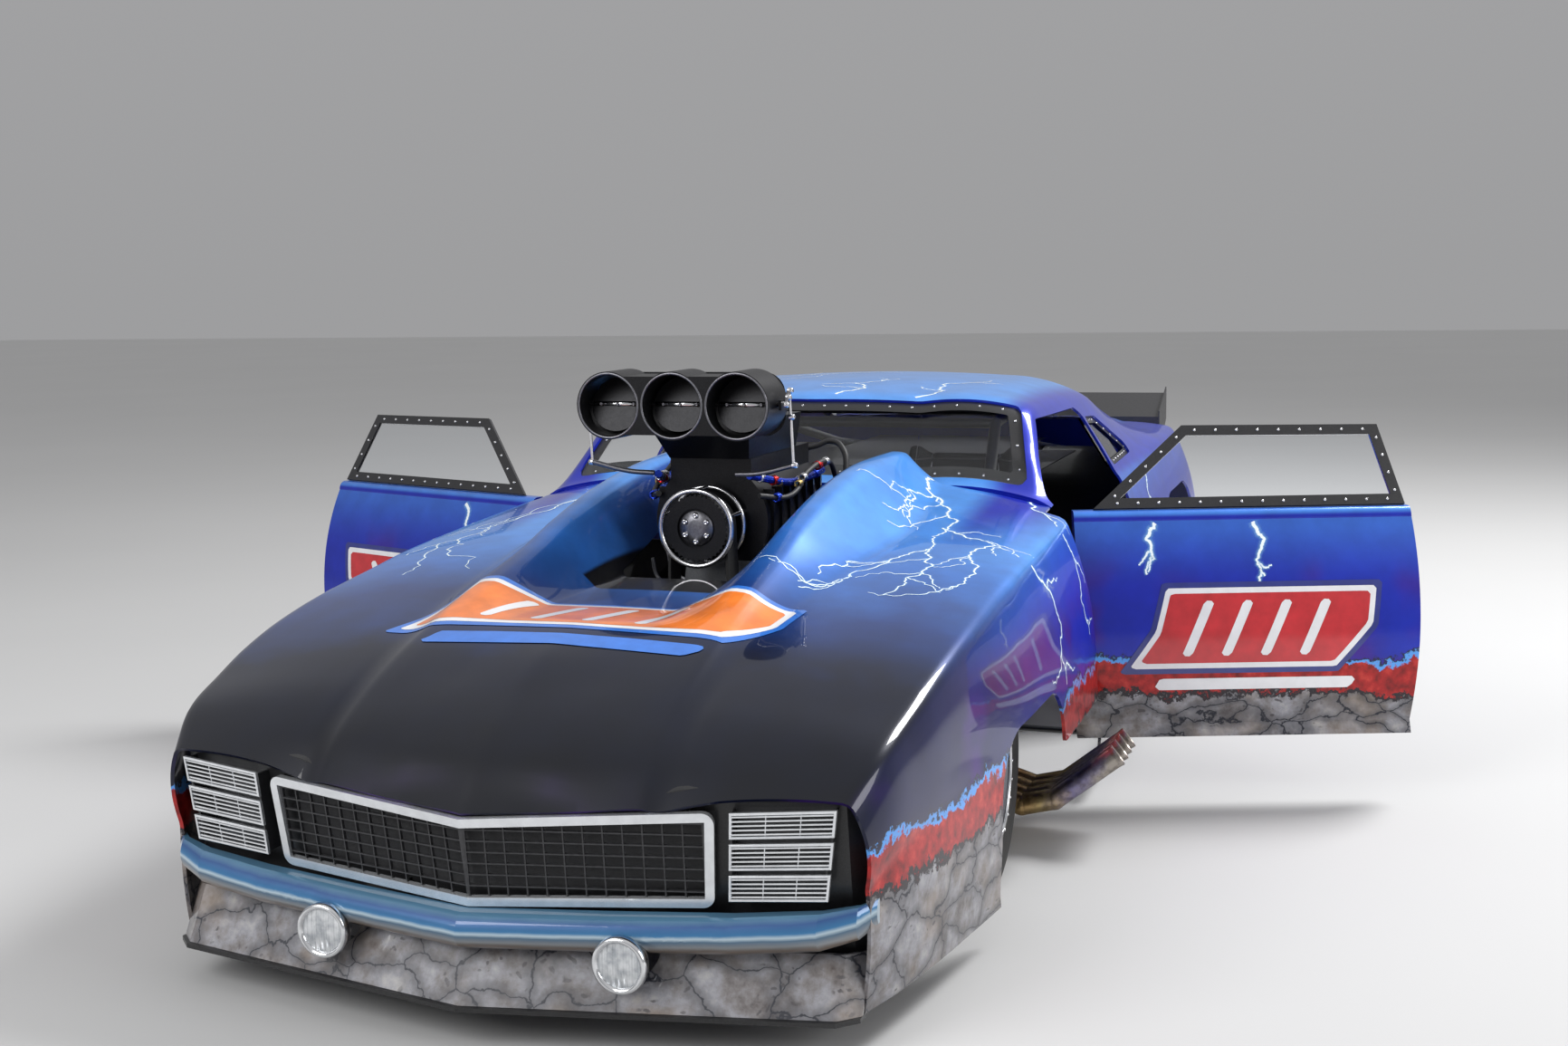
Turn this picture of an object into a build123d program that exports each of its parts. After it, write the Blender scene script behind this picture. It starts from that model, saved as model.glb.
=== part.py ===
from build123d import *
import os
from math import cos, hypot, radians, sin

# A doors-open drag racing coupe: carbon body on a tube chassis, supercharged vee-eight,
# wide slicks behind and narrow tyres in front. Millimetres, +Z up, +X the car's left,
# the car faces -Y. A "station" is a distance behind the grille's top centre.

# Overall
SPLITTER_REACH = 60.0
WHEELIE_AXLE = 5585.0
WHEELIE_RADIUS = 55.0
OVERALL_LENGTH = SPLITTER_REACH + WHEELIE_AXLE + WHEELIE_RADIUS
NOSE_Y = SPLITTER_REACH - OVERALL_LENGTH / 2

# Wheels
FRONT_AXLE = 1170.0
WHEELBASE = 2920.0
REAR_AXLE = FRONT_AXLE + WHEELBASE
FRONT_RADIUS = 310.0
FRONT_WIDTH = 115.0
FRONT_TRACK = 1630.0
FRONT_RIM = 190.0
REAR_RADIUS = 430.0
REAR_WIDTH = 430.0
REAR_TRACK = 1340.0
REAR_RIM = 203.0
KINGPIN_X = 700.0
RUNNING = 0.05
SEAT_GAP = 0.3

# Body
SKIN = 12.0
SILL_Z = 90.0
RIDGE_TOP = 45.0
CLIP_END = 2100.0
COWL = 2112.0
TAIL = 5000.0
NOSE_LEAN = 0.15
GRILLE_TOP_Z = 484.0
FRONT_ARCH_HALF = 332.0
FRONT_ARCH_TOP = 497.0
FRONT_ARCH_RADIUS = 170.0
HEADER_NOTCH_Z = 330.0
REAR_ARCH_HALF = 470.0
REAR_ARCH_TOP = 720.0
REAR_ARCH_RADIUS = 300.0
SHELL_WIDTH = 2400.0
SCOOP_CAP_X = 390.0
SCOOP_CAP_Z = 810.0
SCOOP_CAP_WIDTH = 300.0

# Doors
DOOR_FRONT = 2030.0
DOOR_LENGTH = 1010.0
DOOR_BOTTOM = 205.0
DOOR_GAP = 15.0
DOOR_THICK = 45.0
DOOR_INNER = 835.0
DOORWAY_X = DOOR_INNER - 10
DOOR_OPEN = 71.0
HINGE_X = 945.0
HINGE_SETBACK = 30.0
BELT_Z = 872.0
BELT_X = 885.0
FRAME_THICK = 12.0
FRAME_X = 860.0
FRAME_BORDER = 32.0
PANE = 5.0

# Chassis
TUBE = 20.0
TOWER_TUBE = 18.0
COWL_TUBE = 19.0
CROSS_TUBE = 17.0
WELD_SWELL = 1.0
RAIL_X = 330.0
RAIL_Z = 165.0
CAGE_X = 620.0
REAR_RAIL_X = 400.0
MAIN_HOOP = 3000.0
COWL_HOOP = 2150.0

# Engine
BLOCK_FRONT = 1500.0
BLOCK_LENGTH = 550.0
BLOWER_FRONT = 1450.0
BLOWER_LENGTH = 500.0
BLOWER_BASE = 800.0
BLOWER_TOP = 1085.0
PULLEY_STATION = 1378.0
PULLEY_Z = 904.0
PULLEY_RADIUS = 78.0
CRANK_Z = 340.0
CRANK_RADIUS = 95.0
BELT_WIDTH = 80.0
GUARD_RADIUS = 104.0
HAT_FRONT = 1178.0
HAT_BORE_Z = 1250.0
HAT_BORE_PITCH = 182.0
HAT_BORE_RADIUS = 82.0
HAT_RIM_RADIUS = 90.5
HEADER_RADIUS = 30.0
HEADER_PITCH = 66.0
PORT_PITCH = 125.0


def at(x, station, z):
    """A point from its side offset, its station and its height."""
    return Vector(x, NOSE_Y + station, z)


def across(x, station, z):
    """An upright plane along the car, through a point and facing left."""
    return Plane(origin=at(x, station, z), x_dir=(0, 1, 0), z_dir=(1, 0, 0))


def bulged(x0, z0, x1, z1, bulge):
    """A straight edge, or an arc that stands out from it by the bulge."""
    if not bulge:
        return Line((x0, z0), (x1, z1))
    length = hypot(x1 - x0, z1 - z0)
    middle = ((x0 + x1) / 2 + bulge * (z0 - z1) / length, (z0 + z1) / 2 + bulge * (x1 - x0) / length)
    return ThreePointArc((x0, z0), middle, (x1, z1))


def section(station, half):
    """A closed cross-section from its left half, whose rows are x, z and the bulge to the next."""
    with BuildSketch(Plane.XZ.offset(-(NOSE_Y + station))) as face:
        with BuildLine():
            for (x0, z0, bulge), (x1, z1, _) in zip(half, half[1:]):
                bulged(x0, z0, x1, z1, bulge)
            Line((half[-1][0], half[-1][1]), (-half[-1][0], half[-1][1]))
            for (x0, z0, bulge), (x1, z1, _) in reversed(list(zip(half, half[1:]))):
                bulged(-x1, z1, -x0, z0, bulge)
        make_face()
    return face.sketch


def tube_path(points, radius):
    """A round bar through a list of points, with a ball at each bend."""
    with BuildPart() as run:
        for start, end in zip(points, points[1:]):
            along = end - start
            with BuildSketch(Plane(origin=start, z_dir=along)):
                Circle(radius)
            extrude(amount=along.length)
        for bend in points[1:-1]:
            with Locations(bend):
                Sphere(radius + WELD_SWELL)
    return run.part


def both_sides(part):
    """The piece and its mirror image across the car's middle."""
    with BuildPart() as pair:
        add(part)
        mirror(part, about=Plane.YZ)
    return pair.part


def save(part, name):
    """Labels a finished piece and writes it."""
    part.label = name
    export_step(part, f"parts/{name}.step")


os.makedirs("parts", exist_ok=True)

# Hood and fender sections: station, z_mid, x_floor, z_floor, x_ridge, z_ridge, x_foot, z_foot,
# x_crest, z_crest, x_side, z_side, x_sill
CLIP_SECTIONS = (
    (-120, 385, 170, 375, 335, 362, 450, 352, 760, 330, 775, 250, 770),
    (110, 594, 170, 588, 335, 576, 450, 566, 795, 515, 812, 330, 800),
    (300, 692, 170, 688, 328, 683, 450, 668, 848, 628, 862, 400, 850),
    (600, 778, 172, 776, 320, 784, 450, 752, 877, 718, 912, 440, 905),
    (1100, 772, 175, 770, 310, 918, 480, 822, 886, 790, 968, 470, 962),
    (1600, 775, 200, 775, 318, 1012, 520, 868, 889, 831, 972, 470, 965),
    (CLIP_END, 800, 260, 800, 335, 1040, 490, 940, 880, 862, 972, 470, 965),
)

# Lower body sections: station, z_mid, x_crest, z_crest, x_side, z_side, x_sill
BODY_SECTIONS = (
    (CLIP_END, 935, 880, 862, 972, 470, 965),
    (3100, 925, 883, 866, 972, 470, 965),
    (3600, 930, 885, 890, 972, 480, 965),
    (REAR_AXLE, 948, 880, 920, 972, 500, 965),
    (4600, 950, 862, 905, 962, 520, 950),
    (TAIL, 915, 800, 860, 900, 540, 880),
)

# Roof sections: station, z_mid, x_shoulder, z_shoulder, x_rail, z_rail, x_belt, z_belt
ROOF_SECTIONS = (
    (COWL, 940, 400, 934, 772, 908, 838, 860),
    (2400, 1180, 360, 1175, 700, 1158, 850, 860),
    (2850, 1218, 420, 1206, 704, 1150, 868, 860),
    (3350, 1212, 420, 1198, 698, 1126, 868, 868),
    (3750, 1150, 420, 1136, 668, 1066, 862, 880),
    (4400, 965, 420, 955, 640, 915, 850, 890),
)


def clip_solid(wall, overrun):
    """The hood and fender form, drawn in by a wall and run past its ends."""
    sections = []
    for row in CLIP_SECTIONS:
        station, mid, xf, zf, xr, zr, xh, zh, xc, zc, xs, zs, xb = row
        station += overrun * (1 if station == CLIP_END else -1 if station < 0 else 0)
        bottom = SILL_Z if not wall else -SILL_Z
        sections.append(section(station, (
            (0, mid - wall, 0),
            (xf + 0.3 * wall, zf - wall, 0),
            (xr + 0.4 * wall, zr - wall, 0),
            (xr + RIDGE_TOP - 0.4 * wall, zr - 4 - wall, -8),
            (xh - 0.4 * wall, zh - wall, 14),
            (xc - wall, zc - wall, 18),
            (xs - wall, zs, 8),
            (xb - wall, bottom, 0),
        )))
    with BuildPart() as solid:
        loft(sections=sections, ruled=True)
    return solid.part


def body_solid(wall):
    """The lower body form behind the hood, drawn in by a wall."""
    sections = []
    for station, mid, xc, zc, xs, zs, xb in BODY_SECTIONS:
        station += wall * ((station == CLIP_END) * -1 + (station == TAIL) * -1)
        bottom = SILL_Z if not wall else -SILL_Z
        sections.append(section(station, (
            (0, mid - wall, 12),
            (xc - wall, zc - wall, 22),
            (xs - wall, zs, 8),
            (xb - wall, bottom, 0),
        )))
    with BuildPart() as solid:
        loft(sections=sections, ruled=True)
    return solid.part


def roof_solid(wall, floor):
    """The glass and roof form above the belt, drawn in by a wall, down to a floor height."""
    sections = []
    for station, mid, xh, zh, xr, zr, xb, zb in ROOF_SECTIONS:
        sections.append(section(station, (
            (0, mid - wall, 3),
            (xh - 0.5 * wall, zh - wall, 20),
            (xr - wall, zr - 0.7 * wall, 0),
            (xb - wall, zb - wall, 0),
            (xb - wall, floor, 0),
        )))
    with BuildPart() as solid:
        loft(sections=sections, ruled=True)
    return solid.part


# Plan of the vee nose: side offset and station, from the centre outwards
NOSE_PLAN = ((0, 0), (540, 103), (790, 140), (850, 215), (905, 300))


def nose_band(front, back, low, high, outer_x):
    """A vee band that follows the nose plan and leans back towards its foot."""
    def outline(z):
        lean = (GRILLE_TOP_Z - z) * NOSE_LEAN
        front_edge = [(x, s + front + lean) for x, s in NOSE_PLAN if x <= outer_x]
        back_edge = [(x, s + back + lean) for x, s in NOSE_PLAN if x <= outer_x]
        ring = front_edge + back_edge[::-1][:-1] + [(-x, s) for x, s in back_edge]
        ring += [(-x, s) for x, s in front_edge[:0:-1]]
        with BuildSketch(Plane.XY.offset(z)) as face:
            Polygon([(x, NOSE_Y + s) for x, s in ring], align=None)
        return face.sketch

    with BuildPart() as band:
        loft(sections=[outline(low), outline(high)], ruled=True)
    return band.part


clip_outer = clip_solid(0, 0)
clip_cavity = clip_solid(SKIN, 20)
body_outer = body_solid(0)
body_cavity = body_solid(SKIN)
roof_outer = roof_solid(0, 780)
roof_cavity = roof_solid(SKIN, 500)
roof_glass_cavity = roof_solid(PANE, 500)

# Front clip: hood, scoop ridges with their closed rear ends, and fenders in one skin
with BuildPart() as scoop_caps:
    with BuildSketch(Plane.XY.offset(SCOOP_CAP_Z)):
        for side in (1, -1):
            with Locations((side * SCOOP_CAP_X, NOSE_Y + CLIP_END - SKIN / 2)):
                Rectangle(SCOOP_CAP_WIDTH, SKIN)
    extrude(amount=400)
    add(clip_outer, mode=Mode.INTERSECT)

with BuildPart() as front_clip:
    add(clip_outer)
    add(clip_cavity, mode=Mode.SUBTRACT)
    add(nose_band(-400, 0, -100, 900, 905), mode=Mode.SUBTRACT)
    with BuildSketch(Plane.XY):
        for side in (1, -1):
            with BuildLine():
                Polyline(*[(side * x, NOSE_Y + s) for x, s in (
                    (DOORWAY_X, CLIP_END + 60), (DOORWAY_X, DOOR_FRONT - DOOR_GAP),
                    (SHELL_WIDTH / 2, DOOR_FRONT - DOOR_GAP), (SHELL_WIDTH / 2, CLIP_END + 60))], close=True)
            make_face()
    extrude(amount=1100, mode=Mode.SUBTRACT)
    with BuildSketch(Plane.YZ):
        with Locations((NOSE_Y + FRONT_AXLE, 0)):
            RectangleRounded(2 * FRONT_ARCH_HALF, 2 * FRONT_ARCH_TOP, FRONT_ARCH_RADIUS)
        with Locations((NOSE_Y + 1800, 0)):
            RectangleRounded(1000, 2 * HEADER_NOTCH_Z, 60)
    extrude(amount=SHELL_WIDTH / 2, both=True, mode=Mode.SUBTRACT)
    with BuildSketch(Plane.XY.offset(600)):
        Polygon([(x, NOSE_Y + s) for x, s in (
            (190, 1230), (290, 2070), (-290, 2070), (-190, 1230))], align=None)
    extrude(amount=600, mode=Mode.SUBTRACT)
    add(scoop_caps.part)
save(front_clip.part, "front_clip")

# Main body: cowl, pillars, roof, quarters and tail in one skin
DOOR_OPENING = (
    (DOOR_FRONT - DOOR_GAP, 195), (DOOR_FRONT + DOOR_LENGTH + DOOR_GAP, 195),
    (DOOR_FRONT + DOOR_LENGTH + DOOR_GAP, 893), (DOOR_FRONT - DOOR_GAP, 893),
)
WINDOW_OPENING = (
    (2150, 780), (DOOR_FRONT + DOOR_LENGTH + DOOR_GAP, 780), (DOOR_FRONT + DOOR_LENGTH + DOOR_GAP, 1085),
    (2990, 1112), (2432, 1115), (2140, 893),
)
QUARTER_GLASS = ((3085, 905), (3075, 1075), (3270, 1062), (3560, 915))
WINDSHIELD_PLAN = ((752, 2140), (676, 2385), (-676, 2385), (-752, 2140))
BACKLIGHT_PLAN = ((540, 3800), (575, 4330), (-575, 4330), (-540, 3800))


def side_prism(outline, inner_x, outer_x, clearance=0.0):
    """A prism through both flanks over an outline of stations and heights."""
    with BuildPart() as prism:
        with BuildSketch(Plane.YZ.offset(inner_x)):
            Polygon([(NOSE_Y + s, z) for s, z in outline], align=None)
            if clearance:
                offset(amount=-clearance, kind=Kind.INTERSECTION)
        extrude(amount=outer_x - inner_x)
        mirror(about=Plane.YZ)
    return prism.part


def plan_prism(outline, low, high, clearance=0.0):
    """An upright prism over an outline of side offsets and stations."""
    with BuildPart() as prism:
        with BuildSketch(Plane.XY.offset(low)):
            Polygon([(x, NOSE_Y + s) for x, s in outline], align=None)
            if clearance:
                offset(amount=-clearance, kind=Kind.INTERSECTION)
        extrude(amount=high - low)
    return prism.part


with BuildPart() as main_body:
    add(body_outer)
    add(roof_outer)
    add(body_cavity, mode=Mode.SUBTRACT)
    add(roof_cavity, mode=Mode.SUBTRACT)
    add(side_prism(DOOR_OPENING, DOORWAY_X, SHELL_WIDTH / 2), mode=Mode.SUBTRACT)
    add(side_prism(WINDOW_OPENING, 500, 1200), mode=Mode.SUBTRACT)
    add(side_prism(QUARTER_GLASS, 500, 1200), mode=Mode.SUBTRACT)
    add(plan_prism(WINDSHIELD_PLAN, 870, 1300), mode=Mode.SUBTRACT)
    add(plan_prism(BACKLIGHT_PLAN, 870, 1300), mode=Mode.SUBTRACT)
    with BuildSketch(Plane.YZ):
        with Locations((NOSE_Y + REAR_AXLE, 0)):
            RectangleRounded(2 * REAR_ARCH_HALF, 2 * REAR_ARCH_TOP, REAR_ARCH_RADIUS)
        Polygon([(NOSE_Y + s, z) for s, z in ((4500, 0), (4500, 240), (TAIL + 60, 330), (TAIL + 60, 0))],
                align=None)
    extrude(amount=SHELL_WIDTH / 2, both=True, mode=Mode.SUBTRACT)
save(main_body.part, "main_body")

with BuildPart() as roof_glass:
    add(roof_outer)
    add(roof_glass_cavity, mode=Mode.SUBTRACT)
with BuildPart() as windshield:
    add(roof_glass.part)
    add(plan_prism(WINDSHIELD_PLAN, 870, 1300, SEAT_GAP), mode=Mode.INTERSECT)
save(windshield.part, "windshield")

with BuildPart() as rear_windows:
    add(roof_glass.part)
    with BuildPart(mode=Mode.PRIVATE) as cutters:
        add(plan_prism(BACKLIGHT_PLAN, 870, 1300, SEAT_GAP))
        add(side_prism(QUARTER_GLASS, 500, 1200, SEAT_GAP))
    add(cutters.part, mode=Mode.INTERSECT)
save(rear_windows.part, "rear_windows")

# Doors, built closed on the left and swung open about upright pins near their front edge
HINGE_STATION = DOOR_FRONT + HINGE_SETBACK
HINGE_REACH = COWL_HOOP - COWL_TUBE - SEAT_GAP
HINGE = Axis(at(HINGE_X, HINGE_STATION, 0), (0, 0, 1))
HINGE_HEIGHTS = (360, 540)
HINGE_PIN = 5.0
HINGE_EYE = 9.0
HINGE_TALL = 50.0
POCKET_TALL = 64.0
with BuildPart() as closed_door:
    with BuildSketch(Plane.XZ.offset(-(NOSE_Y + DOOR_FRONT))):
        with BuildLine():
            Line((DOOR_INNER, BELT_Z), (862, BELT_Z))
            ThreePointArc((862, BELT_Z), (879, BELT_Z - 9), (BELT_X, BELT_Z - 30))
            ThreePointArc((BELT_X, BELT_Z - 30), (952, 645), (972, 470))
            ThreePointArc((972, 470), (963, 345), (945, 240))
            Line((945, 240), (972, DOOR_BOTTOM))
            Line((972, DOOR_BOTTOM), (960, DOOR_BOTTOM))
            Line((960, DOOR_BOTTOM), (972 - DOOR_THICK - 20, 262))
            Line((972 - DOOR_THICK - 20, 262), (972 - DOOR_THICK, 470))
            Line((972 - DOOR_THICK, 470), (DOOR_INNER, BELT_Z))
        make_face()
    extrude(amount=-DOOR_LENGTH)
    with BuildSketch(Plane.YZ):
        with BuildLine():
            end_y = NOSE_Y + DOOR_FRONT + DOOR_LENGTH
            ThreePointArc((end_y - 12, 900), (end_y, 560), (end_y - 22, 190))
            Polyline((end_y - 22, 190), (end_y + 60, 190), (end_y + 60, 900), (end_y - 12, 900))
        make_face()
    extrude(amount=1200, mode=Mode.SUBTRACT)
    for height in HINGE_HEIGHTS:
        with BuildSketch(Plane.XY.offset(height - POCKET_TALL / 2)):
            with Locations((HINGE_X - 37, NOSE_Y + DOOR_FRONT + 18)):
                Rectangle(100, 76)
        extrude(amount=POCKET_TALL, mode=Mode.SUBTRACT)
        with BuildSketch(Plane(origin=at(HINGE_X, HINGE_STATION, height - POCKET_TALL / 2 - 4))):
            Circle(HINGE_PIN)
        extrude(amount=POCKET_TALL + 8)

with BuildPart() as left_hinges:
    for height in HINGE_HEIGHTS:
        with BuildSketch(Plane(origin=at(HINGE_X, HINGE_STATION, height - HINGE_TALL / 2))):
            Circle(HINGE_EYE)
        extrude(amount=HINGE_TALL)
        with Locations(at((HINGE_X + CAGE_X - HINGE_EYE) / 2, HINGE_STATION, height)):
            Box(HINGE_X - CAGE_X + HINGE_EYE, 2 * HINGE_EYE, 36)
        with Locations(at(CAGE_X, (HINGE_STATION + HINGE_REACH) / 2, height)):
            Box(2 * HINGE_EYE, HINGE_REACH - HINGE_STATION, 36)
        with BuildSketch(Plane(origin=at(HINGE_X, HINGE_STATION, height - HINGE_TALL / 2))):
            Circle(HINGE_PIN + RUNNING)
        extrude(amount=HINGE_TALL, mode=Mode.SUBTRACT)
save(both_sides(left_hinges.part), "door_hinges")

FRAME_LEAN = (0.9, 0, 0.436)
FRAME_PLANE = Plane(origin=at(FRAME_X, DOOR_FRONT, BELT_Z + SEAT_GAP + FRAME_LEAN[2] * FRAME_THICK),
                    x_dir=(0, 1, 0), z_dir=FRAME_LEAN)
FRAME_OUTLINE = ((62, 0), (345, 262), (935, 255), (990, 0))
with BuildPart() as closed_frame:
    with BuildSketch(FRAME_PLANE):
        Polygon(FRAME_OUTLINE, align=None)
        offset(amount=-FRAME_BORDER, mode=Mode.SUBTRACT, kind=Kind.INTERSECTION)
    extrude(amount=-FRAME_THICK)
with BuildPart() as closed_pane:
    with BuildSketch(FRAME_PLANE.offset(-FRAME_THICK / 2 + PANE / 2)):
        Polygon(FRAME_OUTLINE, align=None)
        offset(amount=-FRAME_BORDER - SEAT_GAP, kind=Kind.INTERSECTION)
    extrude(amount=-PANE)

for side, word in ((1, "left"), (-1, "right")):
    for closed, name in ((closed_door, "door"), (closed_frame, "window_frame"), (closed_pane, "window")):
        piece = closed.part.rotate(HINGE, -DOOR_OPEN)
        if side < 0:
            piece = mirror(piece, about=Plane.YZ, mode=Mode.PRIVATE)
        save(piece, f"{word}_door" if name == "door" else f"{word}_door_{name}")

# Nose: frames lie in the two planes of the vee, which lean back at the foot
GRILLE_PLANE = Plane(origin=at(0, 0, GRILLE_TOP_Z), x_dir=(0.982, 0.188, 0), z_dir=(0.193, -0.972, -0.135))
GRILLE_OUTLINE = ((-40, -2), (537, 27), (529, -185), (-40, -199))
GRILLE_CORNER = 26.0
GRILLE_FRAME = 20.0
GRILLE_DEPTH = 14.0
GRILLE_COLUMNS = 12
GRILLE_ROWS = 7
GRILLE_BAR = 3.0
LAMP_PLANE = Plane(origin=at(563, 94, 512), x_dir=(0.987, 0.1585, 0), z_dir=(0.158, -0.986, -0.06))
LAMP_OUTLINE = ((0, 0), (221, 13), (186, -181), (-8, -192))
LAMP_BARS = 4


def left_half():
    """A block that holds everything on the car's left, to trim halves at the middle."""
    with BuildPart() as block:
        with Locations((1500, 0, 1500)):
            Box(3000, 8000, 4000)
    return block.part


LEFT_HALF = left_half()

with BuildPart() as grille_frame_half:
    with BuildSketch(GRILLE_PLANE) as outline:
        Polygon(GRILLE_OUTLINE, align=None)
        offset(amount=-GRILLE_FRAME, mode=Mode.SUBTRACT, kind=Kind.INTERSECTION)
        corners = outline.vertices().group_by(Axis.X)
        fillet(corners[-1] + corners[-2], GRILLE_CORNER)
    extrude(amount=GRILLE_DEPTH)
    add(LEFT_HALF, mode=Mode.INTERSECT)
save(both_sides(grille_frame_half.part), "grille_frame")

with BuildPart() as grille_half:
    with BuildSketch(GRILLE_PLANE):
        Polygon(GRILLE_OUTLINE, align=None)
        offset(amount=-GRILLE_FRAME - SEAT_GAP, kind=Kind.INTERSECTION)
        pitch_x = 505 / GRILLE_COLUMNS
        pitch_y = 178 / GRILLE_ROWS
        with Locations((258, -90)):
            with GridLocations(pitch_x, pitch_y, GRILLE_COLUMNS, GRILLE_ROWS):
                Rectangle(pitch_x - GRILLE_BAR, pitch_y - GRILLE_BAR, mode=Mode.SUBTRACT)
    extrude(amount=GRILLE_DEPTH / 2)
    add(LEFT_HALF, mode=Mode.INTERSECT)
save(both_sides(grille_half.part), "grille")


def lamp_point(u, v):
    """A point of the lamp group's outline, from shares across and down it."""
    (ax, ay), (bx, by), (cx, cy), (dx, dy) = LAMP_OUTLINE
    top = (ax + u * (bx - ax), ay + u * (by - ay))
    foot = (dx + u * (cx - dx), dy + u * (cy - dy))
    return (top[0] + v * (foot[0] - top[0]), top[1] + v * (foot[1] - top[1]))


with BuildPart() as left_lamps:
    for row in range(3):
        top = row / 3 + 0.012
        foot = (row + 1) / 3 - 0.012
        with BuildSketch(LAMP_PLANE):
            Polygon([lamp_point(u, v) for u, v in ((0, top), (1, top), (1, foot), (0, foot))], align=None)
            offset(amount=-6, mode=Mode.SUBTRACT, kind=Kind.INTERSECTION)
            for bar in range(1, LAMP_BARS + 1):
                v = top + (foot - top) * bar / (LAMP_BARS + 1)
                Polygon([lamp_point(0.02, v - 0.008), lamp_point(0.98, v - 0.008),
                         lamp_point(0.98, v + 0.008), lamp_point(0.02, v + 0.008)], align=None)
        extrude(amount=12)
save(both_sides(left_lamps.part), "lamp_louvres")

# Bumper sections: x, station of its front, station of its back, z_low, z_high
BUMPER_SECTIONS = (
    (0, -48, 14, 207, 284), (300, 8, 72, 209, 286), (560, 58, 118, 213, 292),
    (740, 96, 146, 228, 306), (815, 132, 168, 250, 318), (846, 176, 196, 275, 326),
)
FOG_X = 351.0
FOG_Z = 201.0
FOG_RADIUS = 50.0
FOG_FRONT = 0.0
FOG_DEPTH = 34.0


def fog_round(radius, front, depth):
    """A pair of discs on the fog lamps' axes, facing forwards."""
    with BuildPart() as discs:
        for side in (1, -1):
            with BuildSketch(Plane(origin=at(side * FOG_X, front + depth, FOG_Z), z_dir=(0, -1, 0))):
                Circle(radius)
            extrude(amount=depth)
    return discs.part


with BuildPart() as front_bumper:
    rows = [(-x, *rest) for x, *rest in BUMPER_SECTIONS[:0:-1]] + list(BUMPER_SECTIONS)
    bumper_faces = []
    for x, front, back, low, high in rows:
        with BuildSketch(Plane.YZ.offset(x)) as face:
            with BuildLine():
                Line((NOSE_Y + back, low), (NOSE_Y + back, high))
                Line((NOSE_Y + back, high), (NOSE_Y + (front + back) / 2, high))
                ThreePointArc((NOSE_Y + (front + back) / 2, high), (NOSE_Y + front, (low + high) / 2),
                              (NOSE_Y + (front + back) / 2, low))
                Line((NOSE_Y + (front + back) / 2, low), (NOSE_Y + back, low))
            make_face()
        bumper_faces.append(face.sketch)
    loft(sections=bumper_faces, ruled=True)
    add(fog_round(FOG_RADIUS + SEAT_GAP, -200, 300), mode=Mode.SUBTRACT)
save(front_bumper.part, "front_bumper")

VALANCE_PLAN = ((0, 0), (540, 103), (780, 150), (822, 190))
VALANCE_LOW = 92.0
VALANCE_HIGH = 206.5
VALANCE_SKIN = 10.0
SPLITTER_THICK = 9.7


def plan_ring(z, plan, front, back):
    """A flat vee ring at one height, between two distances from a plan line."""
    ring = [(x, s + front) for x, s in plan] + [(x, s + back) for x, s in plan[::-1]]
    ring += [(-x, s + back) for x, s in plan[1:]] + [(-x, s + front) for x, s in plan[:0:-1]]
    with BuildSketch(Plane.XY.offset(z)) as face:
        Polygon([(x, NOSE_Y + s) for x, s in ring], align=None)
    return face.sketch


with BuildPart() as front_valance:
    loft(sections=[plan_ring(VALANCE_LOW, VALANCE_PLAN, -48, -48 + VALANCE_SKIN),
                   plan_ring(VALANCE_HIGH, VALANCE_PLAN, 22, 22 + VALANCE_SKIN)], ruled=True)
    add(fog_round(FOG_RADIUS + SEAT_GAP, -200, 300), mode=Mode.SUBTRACT)
save(front_valance.part, "front_valance")

with BuildPart() as front_splitter:
    loft(sections=[plan_ring(VALANCE_LOW - SEAT_GAP - SPLITTER_THICK, VALANCE_PLAN, -SPLITTER_REACH, 160),
                   plan_ring(VALANCE_LOW - SEAT_GAP, VALANCE_PLAN, -SPLITTER_REACH, 160)], ruled=True)
    with BuildSketch(Plane.XY.offset(80)):
        with Locations((0, NOSE_Y + 900)):
            Rectangle(1480, 1000)
    extrude(amount=20, mode=Mode.SUBTRACT)
save(front_splitter.part, "front_splitter")

with BuildPart() as fog_lamps:
    add(fog_round(FOG_RADIUS, FOG_FRONT, FOG_DEPTH))
    add(fog_round(FOG_RADIUS - 9, FOG_FRONT, 8), mode=Mode.SUBTRACT)
save(fog_lamps.part, "fog_lamps")

# Posts that carry the nose: for the bumper and the valance x, station of the front end, height
NOSE_POSTS = ((200, 54.3, 250), (650, 133.2, 262), (150, 60.6, 197), (600, 147.6, 197))
POST_LENGTH = 50.0
with BuildPart() as left_posts:
    with BuildSketch(GRILLE_PLANE.offset(-SEAT_GAP)):
        with Locations((200, 1), (500, 15), (200, -183), (500, -176)):
            Rectangle(30, 12)
    extrude(amount=-POST_LENGTH)
    with BuildSketch(LAMP_PLANE.offset(-SEAT_GAP)):
        for u in (0.012, 0.988):
            Polygon([lamp_point(u - 0.012, 0.03), lamp_point(u + 0.012, 0.03),
                     lamp_point(u + 0.012, 0.97), lamp_point(u - 0.012, 0.97)], align=None)
    extrude(amount=-POST_LENGTH)
    for x, station, z in NOSE_POSTS:
        with BuildSketch(Plane(origin=at(x, station, z), z_dir=(0, 1, 0))):
            Rectangle(16, 10)
        extrude(amount=POST_LENGTH)

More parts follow.
